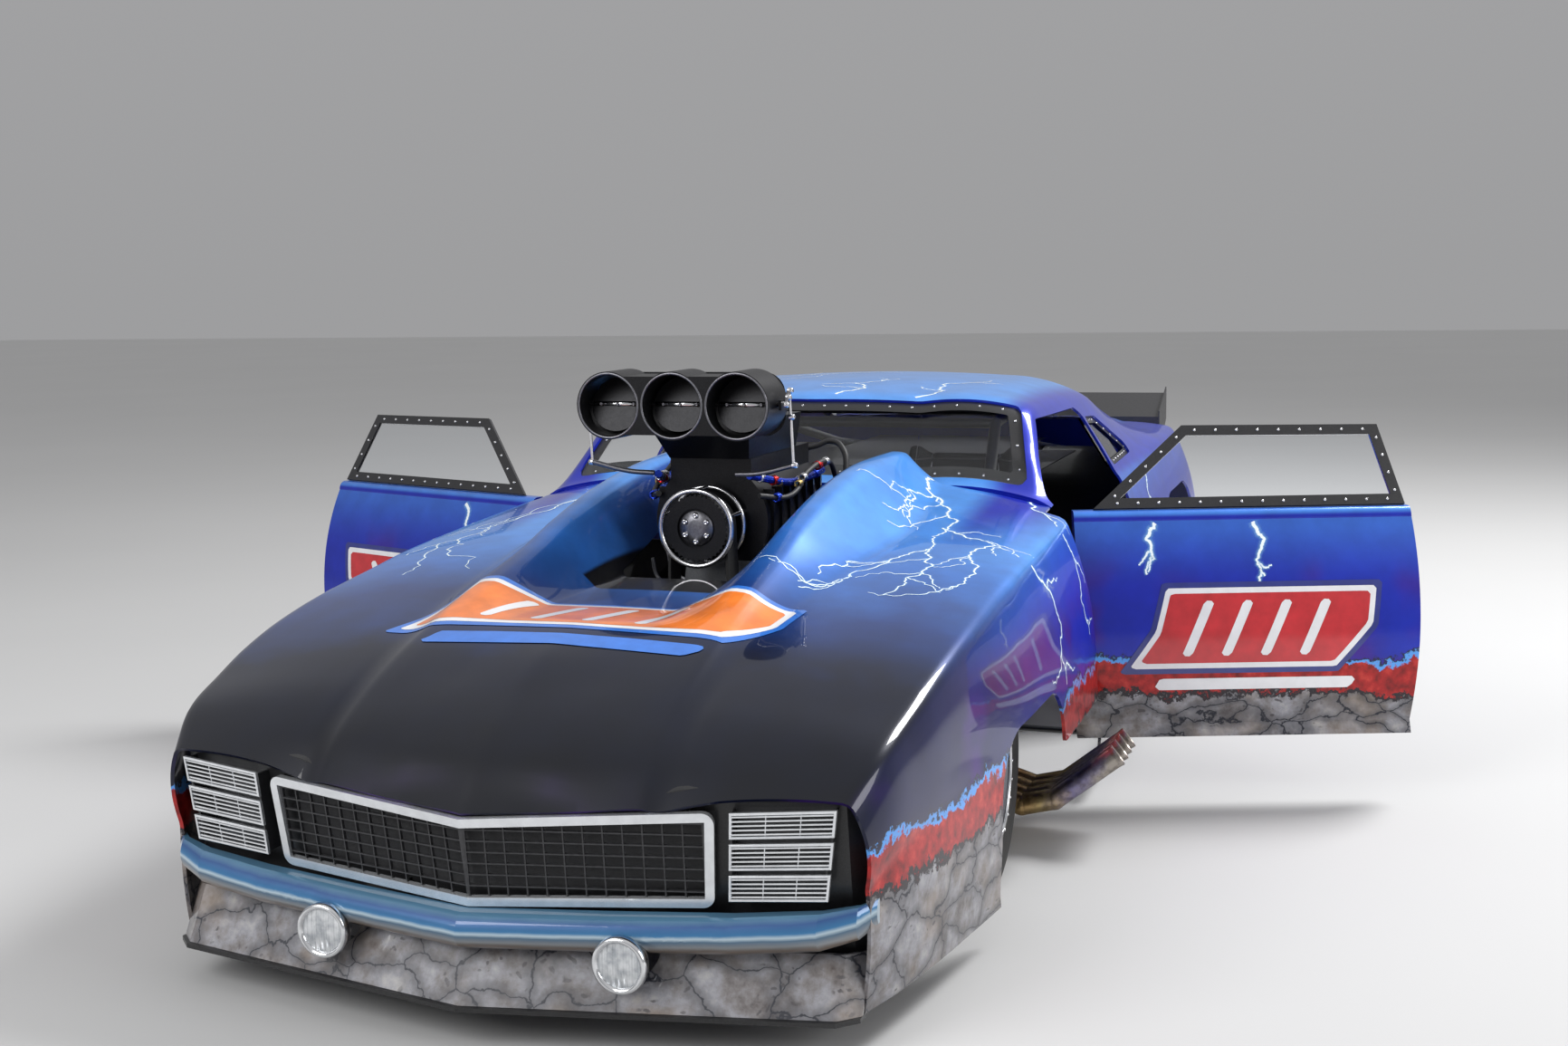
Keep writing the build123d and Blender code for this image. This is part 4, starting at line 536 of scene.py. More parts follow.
RECIPES: dict[str, Callable[[], Paint]] = {
    "body": BodyPaint("body_paint").build,
    "left_door": BodyPaint("left_door_paint", DOOR_SWING, Side.LEFT).build,
    "right_door": BodyPaint("right_door_paint", -DOOR_SWING, Side.RIGHT).build,
    "stone": stone_paint, "chrome": faux_chrome, "pane": clear_pane,
    "headers": header_steel, "slick": lambda: tyre_rubber("slick_rubber", 0.35),
    "front_rubber": lambda: tyre_rubber("front_rubber", 0.2), "seat_cloth": seat_cloth, "bolt": bolt_paint,
    "fog_lens": lens_glass,
}


# surfaces on grids


def curve_through(knots: Sequence[float], values: Sequence[float], where: Array) -> Array:
    """Evaluates a smooth curve through knots that doesn't overshoot them.

    Each span is a cubic whose end slopes are weighted harmonic means of the neighbouring chords'
    slopes, and zero where those change sign.

    Args:
        knots: Increasing positions.
        values: Values there.
        where: Positions to evaluate at; beyond the ends the last cubic carries on.

    Returns:
        The values, in the shape of where.
    """
    k, v = np.asarray(knots, float), np.asarray(values, float)
    span, chord = np.diff(k), np.diff(v) / np.diff(k)
    slope = np.zeros_like(v)
    slope[0], slope[-1] = chord[0], chord[-1]
    before, after = 2 * span[1:] + span[:-1], span[1:] + 2 * span[:-1]
    same = chord[1:] * chord[:-1] > 0
    with np.errstate(divide="ignore", invalid="ignore"):
        mean = (before + after) / (before / chord[:-1] + after / chord[1:])
    slope[1:-1] = np.where(same, mean, 0.0)
    i = np.clip(np.searchsorted(k, where) - 1, 0, len(k) - 2)
    h = span[i]
    t = (where - k[i]) / h
    return (v[i] * (1 + 2 * t) * (1 - t) ** 2 + slope[i] * h * t * (1 - t) ** 2
            + v[i + 1] * t * t * (3 - 2 * t) + slope[i + 1] * h * t * t * (t - 1))


def signed_distance(outline: Sequence[Point2], p: Array, q: Array, radius: float = 0.0) -> Array:
    """Distance from points to a polygon with rounded corners, positive inside.

    The polygon's corners are first drawn in by the radius, and the radius is then added to the
    distance, which rounds them.

    Args:
        outline: The polygon's corners.
        p: First coordinates.
        q: Second coordinates.
        radius: Corner radius.

    Returns:
        The signed distances.
    """
    corners = np.asarray(outline, float)
    if radius:
        corners = inset(corners, radius)
    a, b = corners, np.roll(corners, -1, 0)
    best = np.full(p.shape, np.inf)
    inside = np.zeros(p.shape, bool)
    for (ax, ay), (bx, by) in zip(a, b):
        ex, ey, wx, wy = bx - ax, by - ay, p - ax, q - ay
        t = np.clip((wx * ex + wy * ey) / (ex * ex + ey * ey), 0, 1)
        best = np.minimum(best, np.hypot(wx - ex * t, wy - ey * t))
        crosses = (ay > q) != (by > q)
        with np.errstate(divide="ignore", invalid="ignore"):
            left = p < ex * (q - ay) / (ey if ey else np.inf) + ax
        inside ^= crosses & left
    return np.where(inside, best, -best) + radius


def inset(corners: Array, amount: float) -> Array:
    """A polygon's corners moved inwards by the same distance from both their edges.

    Args:
        corners: The polygon.
        amount: The distance.

    Returns:
        The new corners.
    """
    area = np.sum(corners[:, 0] * np.roll(corners[:, 1], -1) - np.roll(corners[:, 0], -1) * corners[:, 1])
    along = np.roll(corners, -1, 0) - corners
    along /= np.linalg.norm(along, axis=1)[:, None]
    inwards = np.stack([-along[:, 1], along[:, 0]], 1) * np.sign(area)
    last = np.roll(inwards, 1, 0)
    share = 1 + np.sum(inwards * last, 1)
    return corners + amount * (inwards + last) / share[:, None]


def new_mesh(name: str, points: Array, faces: Sequence[Sequence[int]], smooth: bool = True) -> Piece:
    """Makes a mesh object at the origin from points and faces.

    Args:
        name: Object name.
        points: Any shape by 3.
        faces: Corners of each face.
        smooth: Whether it is shaded smooth.

    Returns:
        The object.
    """
    mesh = bpy.data.meshes.new(name)
    mesh.from_pydata(points.reshape(-1, 3).tolist(), [], faces)
    mesh.update()
    if smooth:
        mesh.shade_smooth()
    made = bpy.data.objects.new(name, mesh)
    bpy.context.scene.collection.objects.link(made)
    return made


def quads(rows: int, cols: int, close_rows: bool = False, close_cols: bool = False) -> Array:
    """Numbers the corners of a grid's quads, each from a point to the next in its row and on to the next row.

    Args:
        rows: Rows of points.
        cols: Points in a row.
        close_rows: Whether the last row joins the first.
        close_cols: Whether each row's end joins its start.

    Returns:
        Four corners a quad.
    """
    i, j = np.meshgrid(np.arange(rows - (not close_rows)), np.arange(cols - (not close_cols)), indexing="ij")
    k, l = (i + 1) % rows, (j + 1) % cols
    return np.stack([i * cols + j, i * cols + l, k * cols + l, k * cols + j], 2).reshape(-1, 4)


def trimmed(grid: Array, keep: Array) -> tuple[Array, list[list[int]]]:
    """Cuts a grid of quads along the line where a field changes sign.

    Each cell keeps the part where the field, taken as linear along its edges, is positive. Cut
    points are shared between neighbouring cells, and points that no face uses are left out.

    Args:
        grid: Points, rows by columns by 3.
        keep: The field, rows by columns.

    Returns:
        The points and the faces.
    """
    rows, cols = keep.shape
    inside = keep > 0
    index = np.arange(rows * cols).reshape(rows, cols)
    points = [grid.reshape(-1, 3)]
    count = rows * cols

    def cuts(a: tuple, b: tuple) -> Array:
        """Numbers the cut points between two shifted copies of the grid."""
        nonlocal count
        crossed = inside[a] != inside[b]
        number = np.full(crossed.shape, -1)
        t = (keep[a] / np.where(crossed, keep[a] - keep[b], 1.0))[crossed][:, None]
        points.append(grid[a][crossed] * (1 - t) + grid[b][crossed] * t)
        number[crossed] = count + np.arange(crossed.sum())
        count += int(crossed.sum())
        return number

    along = cuts((slice(None, -1), slice(None)), (slice(1, None), slice(None)))
    across = cuts((slice(None), slice(None, -1)), (slice(None), slice(1, None)))
    corner = [index[:-1, :-1], index[1:, :-1], index[1:, 1:], index[:-1, 1:]]
    edge = [along[:, :-1], across[1:, :], along[:, 1:], across[:-1, :]]
    kept = [inside[:-1, :-1], inside[1:, :-1], inside[1:, 1:], inside[:-1, 1:]]
    code = sum(k.astype(int) << i for i, k in enumerate(kept))
    faces: list[list[int]] = []
    for case in range(1, 16):
        chosen = code == case
        if not chosen.any():
            continue
        columns = []
        for i in range(4):
            if case >> i & 1:
                columns.append(corner[i][chosen])
            if (case >> i & 1) != (case >> (i + 1) % 4 & 1):
                columns.append(edge[i][chosen])
        faces += np.stack(columns, 1).tolist()
    used, compact = np.unique(np.concatenate([np.asarray(f) for f in faces]), return_inverse=True)
    sizes = np.cumsum([len(f) for f in faces])[:-1]
    return np.concatenate(points)[used], [part.tolist() for part in np.split(compact, sizes)]


def thicken(piece: Piece, thickness: float) -> None:
    """Gives a sheet its thickness, behind its faces and with sharp rims, by a modifier.

    Args:
        piece: The sheet.
        thickness: Its thickness.
    """
    solid = piece.modifiers.new("thickness", "SOLIDIFY")
    solid.thickness, solid.offset = thickness, -1.0
    solid.use_even_offset = False
    split = piece.modifiers.new("crisp_edges", "EDGE_SPLIT")
    split.split_angle = math.radians(50)


@dataclass
class Section:
    """A loft of half cross-sections through feature lines, mirrored across the car.

    Args:
        lines: Feature lines from the middle outwards; each is rows of station, x and z.
        bulges: How far each stretch between two feature lines stands out from its chord.
        pitch: Spacing of the points.
        rounding: How many points each crease is rounded over.
    """

    lines: Sequence[Sequence[tuple[float, float, float]]]
    bulges: Sequence[float]
    pitch: float = 0.016
    rounding: int = 2

    def half(self, stations: Array) -> tuple[Array, Array]:
        """Half sections at the stations.

        Each feature line is a smooth curve of its station. Between two lines the section is their
        chord plus the bulge times 4u(1-u) across it. A short running mean then rounds the creases.

        Args:
            stations: Increasing stations.

        Returns:
            The x and z of the points, stations by points.
        """
        feature = []
        for line in self.lines:
            rows = np.asarray(line, float)
            feature.append((curve_through(rows[:, 0], rows[:, 1], stations),
                            curve_through(rows[:, 0], rows[:, 2], stations)))
        xs, zs = [], []
        for (x0, z0), (x1, z1), bulge in zip(feature, feature[1:], self.bulges):
            length = np.hypot(x1 - x0, z1 - z0)
            steps = max(2, int(np.ceil(length.mean() / self.pitch)))
            u = np.arange(steps)[None, :] / steps
            lift = bulge * 4 * u * (1 - u)
            xs.append(x0[:, None] * (1 - u) + x1[:, None] * u + lift * ((z0 - z1) / length)[:, None])
            zs.append(z0[:, None] * (1 - u) + z1[:, None] * u + lift * ((x1 - x0) / length)[:, None])
        xs.append(feature[-1][0][:, None])
        zs.append(feature[-1][1][:, None])
        return self._rounded(np.concatenate(xs, 1), -1.0), self._rounded(np.concatenate(zs, 1), 1.0)

    def _rounded(self, rows: Array, parity: float) -> Array:
        """A running mean along each section, mirrored at the middle and held at the foot.

        Args:
            rows: Values along the sections.
            parity: 1 where the mirrored values are equal, -1 where they are opposite.

        Returns:
            The values.
        """
        reach = self.rounding
        weights = np.bartlett(2 * reach + 3)[1:-1]
        weights /= weights.sum()
        head = parity * rows[:, reach:0:-1]
        foot = 2 * rows[:, -1:] - rows[:, -2:-2 - reach:-1]
        padded = np.concatenate([head, rows, foot], 1)
        return sum(w * padded[:, i:i + rows.shape[1]] for i, w in enumerate(weights))

    def grid(self, stations: Array) -> Array:
        """The whole surface, right flank to left, as rows of stations by points by (x, station, z).

        Args:
            stations: Increasing stations.

        Returns:
            The points.
        """
        x, z = self.half(stations)
        x = np.concatenate([-x[:, :0:-1], x], 1)
        z = np.concatenate([z[:, :0:-1], z], 1)
        return np.stack([x, np.broadcast_to(stations[:, None], x.shape), z], 2)


def placed(grid: Array) -> Array:
    """Turns stations into Y of the row frame."""
    return grid + np.array([0.0, NOSE_Y, 0.0])


def outward(grid: Array) -> Array:
    """Unit normals of a grid, on the side away from the car's middle.

    Args:
        grid: Rows by columns of points.

    Returns:
        A normal for each point.
    """
    du, dv = np.gradient(grid, axis=0), np.gradient(grid, axis=1)
    normal = np.cross(dv, du)
    normal /= np.linalg.norm(normal, axis=2)[..., None] + 1e-12
    return normal


def lathe(name: str, profile: Sequence[Point2], centre: Vector, axis: str = "x", around: int = 96,
          closed: bool = True) -> Piece:
    """Turns a profile of distance along the axis and radius about an axis.

    Args:
        name: Object name.
        profile: Rows of distance along the axis and radius.
        centre: A point on the axis.
        axis: "x", "y" or "z".
        around: Points around.
        closed: Whether the profile's end joins its start.

    Returns:
        The object.
    """
    rows = np.asarray(profile, float)
    turn = np.linspace(0, 2 * np.pi, around, endpoint=False)
    a = np.broadcast_to(rows[:, :1], (len(rows), around))
    b, c = rows[:, 1:] * np.cos(turn), rows[:, 1:] * np.sin(turn)
    order = {"x": (a, b, c), "y": (c, a, b), "z": (b, c, a)}[axis]
    grid = np.stack(order, 2) + np.asarray(centre)
    return new_mesh(name, grid, quads(len(rows), around, closed, True).tolist())


def set_look(piece: Piece, look: str) -> None:
    """Gives a piece or a CAD node the material of a look, and reports it.

    Args:
        piece: The piece or node.
        look: Its finish or recipe.
    """
    piece.data.materials.clear()
    piece.data.materials.append(material_of(look))
    LOG.info("%s: %s", piece.name, look)


def tube(name: str, points: Sequence[Sequence[float]], radius: float, look: str, body: str = CAR) -> Piece:
    """A round bar or hose along a smooth curve through a few points.

    Args:
        name: Object name.
        points: Points along it.
        radius: Its radius.
        look: Its finish or recipe.
        body: The body it rides on.

    Returns:
        The object.
    """
    curve = bpy.data.curves.new(name, "CURVE")
    curve.dimensions, curve.bevel_depth, curve.bevel_resolution = "3D", radius, 3
    curve.use_fill_caps = True
    spline = curve.splines.new("BEZIER")
    spline.bezier_points.add(len(points) - 1)
    for knot, point in zip(spline.bezier_points, points):
        knot.co = point
        knot.handle_left_type = knot.handle_right_type = "AUTO"
    made = bpy.data.objects.new(name, curve)
    bpy.context.scene.collection.objects.link(made)
    set_look(made, look)
    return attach(made, body)


def dress(piece: Piece, look: str, body: str = CAR, *nodes: str) -> Piece:
    """Gives a piece its look and its body, and hides the CAD nodes it stands for.

    Args:
        piece: The piece.
        look: Its finish or recipe.
        body: The body it rides on.
        nodes: CAD nodes, the one that it fits in first.

    Returns:
        The piece.
    """
    set_look(piece, look)
    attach(piece, body)
    if nodes:
        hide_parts(*nodes)
    return piece


# the body's shells

ARCH_FRONT = ((0.838, 0.0), (1.502, 0.0), (1.502, 0.497), (0.838, 0.497))
ARCH_REAR = ((3.62, -0.6), (4.56, -0.6), (4.56, 0.72), (3.62, 0.72))
HEADER_NOTCH = ((1.3, -0.4), (2.3, -0.4), (2.3, 0.33), (1.3, 0.33))
TAIL_CUT = ((4.5, -0.2), (4.5, 0.24), (5.06, 0.33), (5.06, -0.2))
ENGINE_PLAN = ((0.19, 1.23), (0.29, 2.07), (-0.29, 2.07), (-0.19, 1.23))
DOORWAY = ((2.015, 0.195), (3.055, 0.195), (3.055, 0.893), (2.015, 0.893))
WINDOW_GAP = ((2.15, 0.78), (3.055, 0.78), (3.055, 1.085), (2.99, 1.112), (2.378, 1.123), (2.132, 0.893))
QUARTER_GLASS = ((3.085, 0.905), (3.56, 0.915), (3.27, 1.062), (3.075, 1.075))
WINDSHIELD_PLAN = ((0.752, 2.14), (0.676, 2.385), (-0.676, 2.385), (-0.752, 2.14))
BACKLIGHT_PLAN = ((0.54, 3.8), (0.575, 4.33), (-0.575, 4.33), (-0.54, 3.8))
NOSE_PLAN = ((0.0, 0.0), (0.54, 0.103), (0.79, 0.14), (0.95, 0.152))
NOSE_LEAN = 0.15
GRILLE_TOP = 0.484

# Hood and fender feature lines from the middle outwards, as rows of station, x and z
CLIP_LINES = (
    ((-0.12, 0, 0.385), (0, 0, 0.487), (0.111, 0, 0.594), (0.26, 0, 0.678), (0.424, 0, 0.746),
     (0.588, 0, 0.778), (1.1, 0, 0.772), (1.6, 0, 0.775), (2.1, 0, 0.8)),
    ((-0.12, 0.17, 0.375), (0.034, 0.17, 0.496), (0.111, 0.17, 0.583), (0.3, 0.17, 0.688),
     (0.6, 0.172, 0.776), (1.1, 0.175, 0.77), (1.6, 0.2, 0.775), (2.1, 0.26, 0.8)),
    ((-0.12, 0.335, 0.33), (0.03, 0.335, 0.47), (0.068, 0.335, 0.514), (0.14, 0.334, 0.592),
     (0.265, 0.33, 0.665), (0.413, 0.325, 0.728), (0.58, 0.32, 0.779), (0.765, 0.315, 0.831),
     (1.032, 0.31, 0.893), (1.202, 0.31, 0.942), (1.502, 0.31, 1.002), (1.82, 0.312, 1.034),
     (2.1, 0.335, 1.04)),
    ((-0.12, 0.38, 0.327), (0.038, 0.38, 0.472), (0.076, 0.38, 0.516), (0.145, 0.379, 0.59),
     (0.265, 0.375, 0.661), (0.413, 0.37, 0.724), (0.58, 0.365, 0.775), (0.765, 0.36, 0.827),
     (1.032, 0.355, 0.889), (1.202, 0.355, 0.938), (1.502, 0.358, 0.998), (1.82, 0.362, 1.03),
     (2.1, 0.38, 1.036)),
    ((-0.12, 0.45, 0.32), (0.05, 0.45, 0.473), (0.09, 0.45, 0.518), (0.17, 0.45, 0.596),
     (0.3, 0.45, 0.668), (0.6, 0.45, 0.752), (1.1, 0.48, 0.822), (1.6, 0.52, 0.868), (2.1, 0.49, 0.94)),
    ((-0.12, 0.76, 0.33), (0.11, 0.795, 0.515), (0.247, 0.84, 0.609), (0.368, 0.855, 0.65),
     (0.498, 0.87, 0.69), (0.66, 0.88, 0.729), (0.858, 0.885, 0.762), (1.099, 0.885, 0.791),
     (1.287, 0.89, 0.811), (1.6, 0.89, 0.832), (2.1, 0.88, 0.862)),
    ((-0.12, 0.775, 0.25), (0.11, 0.812, 0.33), (0.3, 0.862, 0.4), (0.6, 0.912, 0.44), (1.1, 0.968, 0.47),
     (1.6, 0.972, 0.47), (2.1, 0.972, 0.47)),
    ((-0.12, 0.77, 0.09), (0.11, 0.8, 0.09), (0.3, 0.85, 0.09), (0.6, 0.905, 0.09), (1.1, 0.962, 0.09),
     (1.6, 0.965, 0.09), (2.1, 0.965, 0.09)),
)
CLIP_BULGES = (0.0, 0.0, 0.0, -0.006, 0.011, 0.018, 0.008)

# Cowl, roof, deck and flank feature lines
BODY_LINES = (
    ((2.1, 0, 0.936), (2.112, 0, 0.94), (2.25, 0, 1.062), (2.39, 0, 1.178), (2.46, 0, 1.196),
     (2.85, 0, 1.218), (3.1, 0, 1.2175), (3.35, 0, 1.212), (3.75, 0, 1.15), (4.1, 0, 1.058),
     (4.4, 0, 0.965), (4.6, 0, 0.95), (5.0, 0, 0.915)),
    ((2.1, 0.4, 0.93), (2.112, 0.4, 0.934), (2.25, 0.385, 1.057), (2.39, 0.36, 1.172),
     (2.46, 0.365, 1.188), (2.85, 0.42, 1.206), (3.35, 0.42, 1.198), (3.75, 0.42, 1.136), (4.1, 0.42, 1.046),
     (4.4, 0.42, 0.957), (4.6, 0.42, 0.942), (5.0, 0.42, 0.905)),
    ((2.1, 0.772, 0.904), (2.112, 0.772, 0.908), (2.25, 0.735, 1.033), (2.39, 0.702, 1.15),
     (2.46, 0.702, 1.156), (2.85, 0.704, 1.15), (3.35, 0.698, 1.126), (3.75, 0.668, 1.066),
     (4.1, 0.652, 0.985), (4.4, 0.64, 0.927), (4.6, 0.64, 0.925), (5.0, 0.6, 0.89)),
    ((2.1, 0.838, 0.868), (2.4, 0.852, 0.872), (2.85, 0.868, 0.875), (3.35, 0.868, 0.882),
     (3.75, 0.864, 0.897), (4.1, 0.858, 0.908), (4.6, 0.84, 0.908), (5.0, 0.78, 0.865)),
    ((2.1, 0.88, 0.855), (3.1, 0.883, 0.86), (3.6, 0.885, 0.88), (4.09, 0.88, 0.9),
     (4.6, 0.862, 0.895), (5.0, 0.8, 0.852)),
    ((2.1, 0.972, 0.47), (3.1, 0.972, 0.47), (3.6, 0.972, 0.48), (4.09, 0.972, 0.5), (4.6, 0.962, 0.52),
     (5.0, 0.9, 0.54)),
    ((2.1, 0.965, 0.09), (3.6, 0.965, 0.09), (4.09, 0.965, 0.09), (4.6, 0.95, 0.09), (5.0, 0.88, 0.09)),
)
BODY_BULGES = (0.003, 0.018, 0.004, 0.003, 0.022, 0.008)
SKIN = 0.009
SCREEN_FOOT = 0.87
COWL = 2.1
TAIL = 5.0
DOOR_FRONT = 2.015
DOOR_INNER = 0.825
WINDOW_INNER = 0.5


def spaced(start: float, end: float, pitch: float) -> Array:
    """Evenly spaced stations from start to end, at most a pitch apart."""
    return np.linspace(start, end, int(np.ceil((end - start) / pitch)) + 1)


def on_flanks(distance: Array, x: Array, inner: float) -> Array:
    """A side outline's distance, held to the part of the shell beyond an inner x."""
    return np.minimum(distance, np.abs(x) - inner)


@dataclass
class Shells:
    """The painted skins and the panes' borders that are cut from the same surfaces.

    Args:
        clip: Hood and fender loft.
        body: Cowl, roof and quarter loft.
        wall: Thickness of the skins.
    """

    clip: Section = field(default_factory=lambda: Section(CLIP_LINES, CLIP_BULGES, 0.015, 1))
    body: Section = field(default_factory=lambda: Section(BODY_LINES, BODY_BULGES, 0.017, 1))
    wall: float = SKIN

    def hood(self) -> Piece:
        """The front clip: cut at the nose, the arches, the header notch, the engine and the doors.

        A last row of points drops or rises upright to the cowl, which closes the scoops' rear ends.

        Returns:
            The skin.
        """
        grid = self.clip.grid(spaced(-0.09, COWL, 0.017))
        cowl = self.body.grid(np.array([COWL + 0.001]))[0]
        middle = cowl[cowl[:, 2] > 0.84]
        end = grid[-1].copy()
        end[:, 1] += 0.0012
        met = np.interp(end[:, 0], middle[:, 0], middle[:, 2])
        end[:, 2] = np.where(np.abs(end[:, 0]) < 0.82, met, end[:, 2])
        grid = np.concatenate([grid, end[None]])
        x, s, z = np.moveaxis(grid, 2, 0)
        plan = np.asarray(NOSE_PLAN)
        lean = np.minimum(GRILLE_TOP - z, 0.15) * NOSE_LEAN
        nose = s - np.interp(np.abs(x), plan[:, 0], plan[:, 1]) - lean
        keep = np.minimum.reduce([
            nose, -signed_distance(ARCH_FRONT, s, z, 0.17), -signed_distance(HEADER_NOTCH, s, z, 0.05),
            -np.minimum(signed_distance(ENGINE_PLAN, x, s, 0.03), z - 0.6),
            np.maximum(DOOR_INNER - np.abs(x), DOOR_FRONT - s)])
        points, faces = trimmed(placed(grid), keep)
        return self._skin("front_clip_skin", points, faces, "front_clip")

    def shell(self) -> Piece:
        """The body behind the hood, with its glass and wheel openings cut and its tail closed.

        The tail is a fan of rows between the last section and a point low on the middle line.

        Returns:
            The skin.
        """
        grid = self.body.grid(np.concatenate([[COWL], spaced(2.112, TAIL, 0.019)]))
        x, s, z = np.moveaxis(grid, 2, 0)
        keep = np.minimum.reduce([
            -on_flanks(signed_distance(DOORWAY, s, z), x, DOOR_INNER),
            -on_flanks(signed_distance(WINDOW_GAP, s, z, 0.02), x, WINDOW_INNER),
            -on_flanks(signed_distance(QUARTER_GLASS, s, z, 0.022), x, WINDOW_INNER),
            -np.minimum(signed_distance(WINDSHIELD_PLAN, x, s, 0.03), z - SCREEN_FOOT),
            -np.minimum(signed_distance(BACKLIGHT_PLAN, x, s, 0.05), z - SCREEN_FOOT),
            -signed_distance(ARCH_REAR, s, z, 0.3), -signed_distance(TAIL_CUT, s, z)])
        last, held = grid[-1], keep[-1]
        share = np.linspace(0, 1, 9)[1:, None, None]
        fan = last * (1 - share) + np.array([0.0, TAIL, 0.36]) * share
        grid = np.concatenate([grid, fan])
        keep = np.concatenate([keep, np.minimum(held, fan[..., 2] - 0.32)])
        points, faces = trimmed(placed(grid), keep)
        return self._skin("main_body_skin", points, faces, "main_body")

    def _skin(self, name: str, points: Array, faces: list[list[int]], node: str) -> Piece:
        """Makes a painted skin that stands for a CAD node.

        Args:
            name: Object name.
            points: Points of the sheet.
            faces: Its faces.
            node: The CAD node.

        Returns:
            The skin.
        """
        skin = new_mesh(name, points, faces)
        thicken(skin, self.wall)
        return dress(skin, "body", CAR, node)

    def border(self, name: str, stations: Array, keep: Callable[[Array, Array, Array], Array],
               sink: float) -> Piece:
        """A pane's printed border, cut from the body's surface and sunk below it.

        Args:
            name: Object name.
            stations: Stations of the rows.
            keep: Field of x, station and z that is positive where the print is.
            sink: Depth below the skin.

        Returns:
            The object.
        """
        grid = self.body.grid(stations)
        field_ = keep(*np.moveaxis(grid, 2, 0))
        points, faces = trimmed(placed(grid - outward(grid) * sink), field_)
        return dress(new_mesh(name, points, faces), "satin_black")


def studs(name: str, points: Array, normals: Array | Sequence[float], radius: float, height: float,
          look: str = "bright_steel", body: str = CAR) -> Piece:
    """Button-head fasteners as one mesh: a ring, a shoulder and a crown for each point.

    Args:
        name: Object name.
        points: Middles of their feet.
        normals: Where they face, as one vector or one for each.
        radius: Radius of a head.
        height: Height of a head.
        look: Their finish.
        body: The body they ride on.

    Returns:
        The object.
    """
    normals = np.broadcast_to(np.asarray(normals, float), points.shape)
    turn = np.linspace(0, 2 * np.pi, 14, endpoint=False)
    n = normals / np.linalg.norm(normals, axis=1)[:, None]
    helper = np.where(np.abs(n[:, 2:]) < 0.9, np.array([[0, 0, 1.0]]), np.array([[1.0, 0, 0]]))
    u = np.cross(helper, n)
    u /= np.linalg.norm(u, axis=1)[:, None]
    v = np.cross(n, u)
    rings = ((1.0, -0.2), (1.0, 0.35), (0.8, 0.8), (0.45, 1.0), (0.32, 0.72))
    rows = []
    for share, lift in rings:
        around = np.cos(turn)[None, :, None] * u[:, None] + np.sin(turn)[None, :, None] * v[:, None]
        rows.append(points[:, None] + around * radius * share + n[:, None] * height * lift)
    grid = np.stack(rows, 1)
    count, m = len(points), len(turn)
    base = np.arange(count)[:, None, None] * len(rings) * m
    sides = quads(len(rings), m, False, True)[None] + base
    caps = np.arange(m)[None, :] + (len(rings) - 1) * m + base[:, :, 0]
    faces = sides.reshape(-1, 4).tolist() + caps.tolist()
    return dress(new_mesh(name, grid, faces), look, body)


def along_outline(outline: Sequence[Point2], pitch: float) -> Array:
    """Points at about a pitch along a closed outline.

    Args:
        outline: Its corners.
        pitch: The spacing.

    Returns:
        The points.
    """
    corners = np.asarray(outline, float)
    out = []
    for a, b in zip(corners, np.roll(corners, -1, 0)):
        steps = max(1, int(round(np.linalg.norm(b - a) / pitch)))
        out.append(a + (b - a) * (np.arange(steps)[:, None] + 0.5) / steps)
    return np.concatenate(out)


class Drape:
    """Lays points on the car's skins, with their thickness.

    Args:
        pieces: Mesh objects to lay on.
    """

    def __init__(self, *pieces: Piece) -> None:
        """Keeps one search tree of the pieces' final meshes."""
        points, faces = [], []
        graph = bpy.context.evaluated_depsgraph_get()
        for piece in pieces:
            shift, solid = len(points), piece.evaluated_get(graph)
            data = solid.to_mesh()
            points += [tuple(v.co) for v in data.vertices]
            faces += [[i + shift for i in f.vertices] for f in data.polygons]
            solid.to_mesh_clear()
        self.tree = BVHTree.FromPolygons(points, faces)

    def cast(self, starts: Array, direction: Sequence[float], lift: float = 0.0) -> tuple[Array, Array]:
        """Sends a ray from each point.

        Args:
            starts: Points, any shape by 3.
            direction: Where the rays go.
            lift: Distance left above the skin.

        Returns:
            The hits, or the points themselves where nothing was hit, and the outward normals.
        """
        flat = starts.reshape(-1, 3)
        hits, normals = flat.copy(), np.tile(-np.asarray(direction, float), (len(flat), 1))
        way = Vector(direction)
        for i, start in enumerate(flat):
            hit, normal, _, _ = self.tree.ray_cast(Vector(start), way)
            if hit is not None:
                normal = -normal if normal.dot(way) > 0 else normal
                hits[i], normals[i] = hit + normal * lift, normal
        return hits.reshape(starts.shape), normals.reshape(starts.shape)


# doors, laid out closed and swung open

DOOR_PROFILE = ((0.205, 0.972), (0.24, 0.945), (0.345, 0.963), (0.47, 0.972), (0.56, 0.9655),
                (0.645, 0.952), (0.745, 0.925), (0.842, 0.885))
FRAME_OUTLINE = ((0.062, 0.0), (0.345, 0.262), (0.935, 0.255), (0.99, 0.0))
FRAME_BORDER = 0.032
FRAME_ORIGIN = (0.86, 2.03, 0.8775)
FRAME_OUT = (0.9, 0.0, 0.436)
FRAME_UP = (-0.436, 0.0, 0.9)


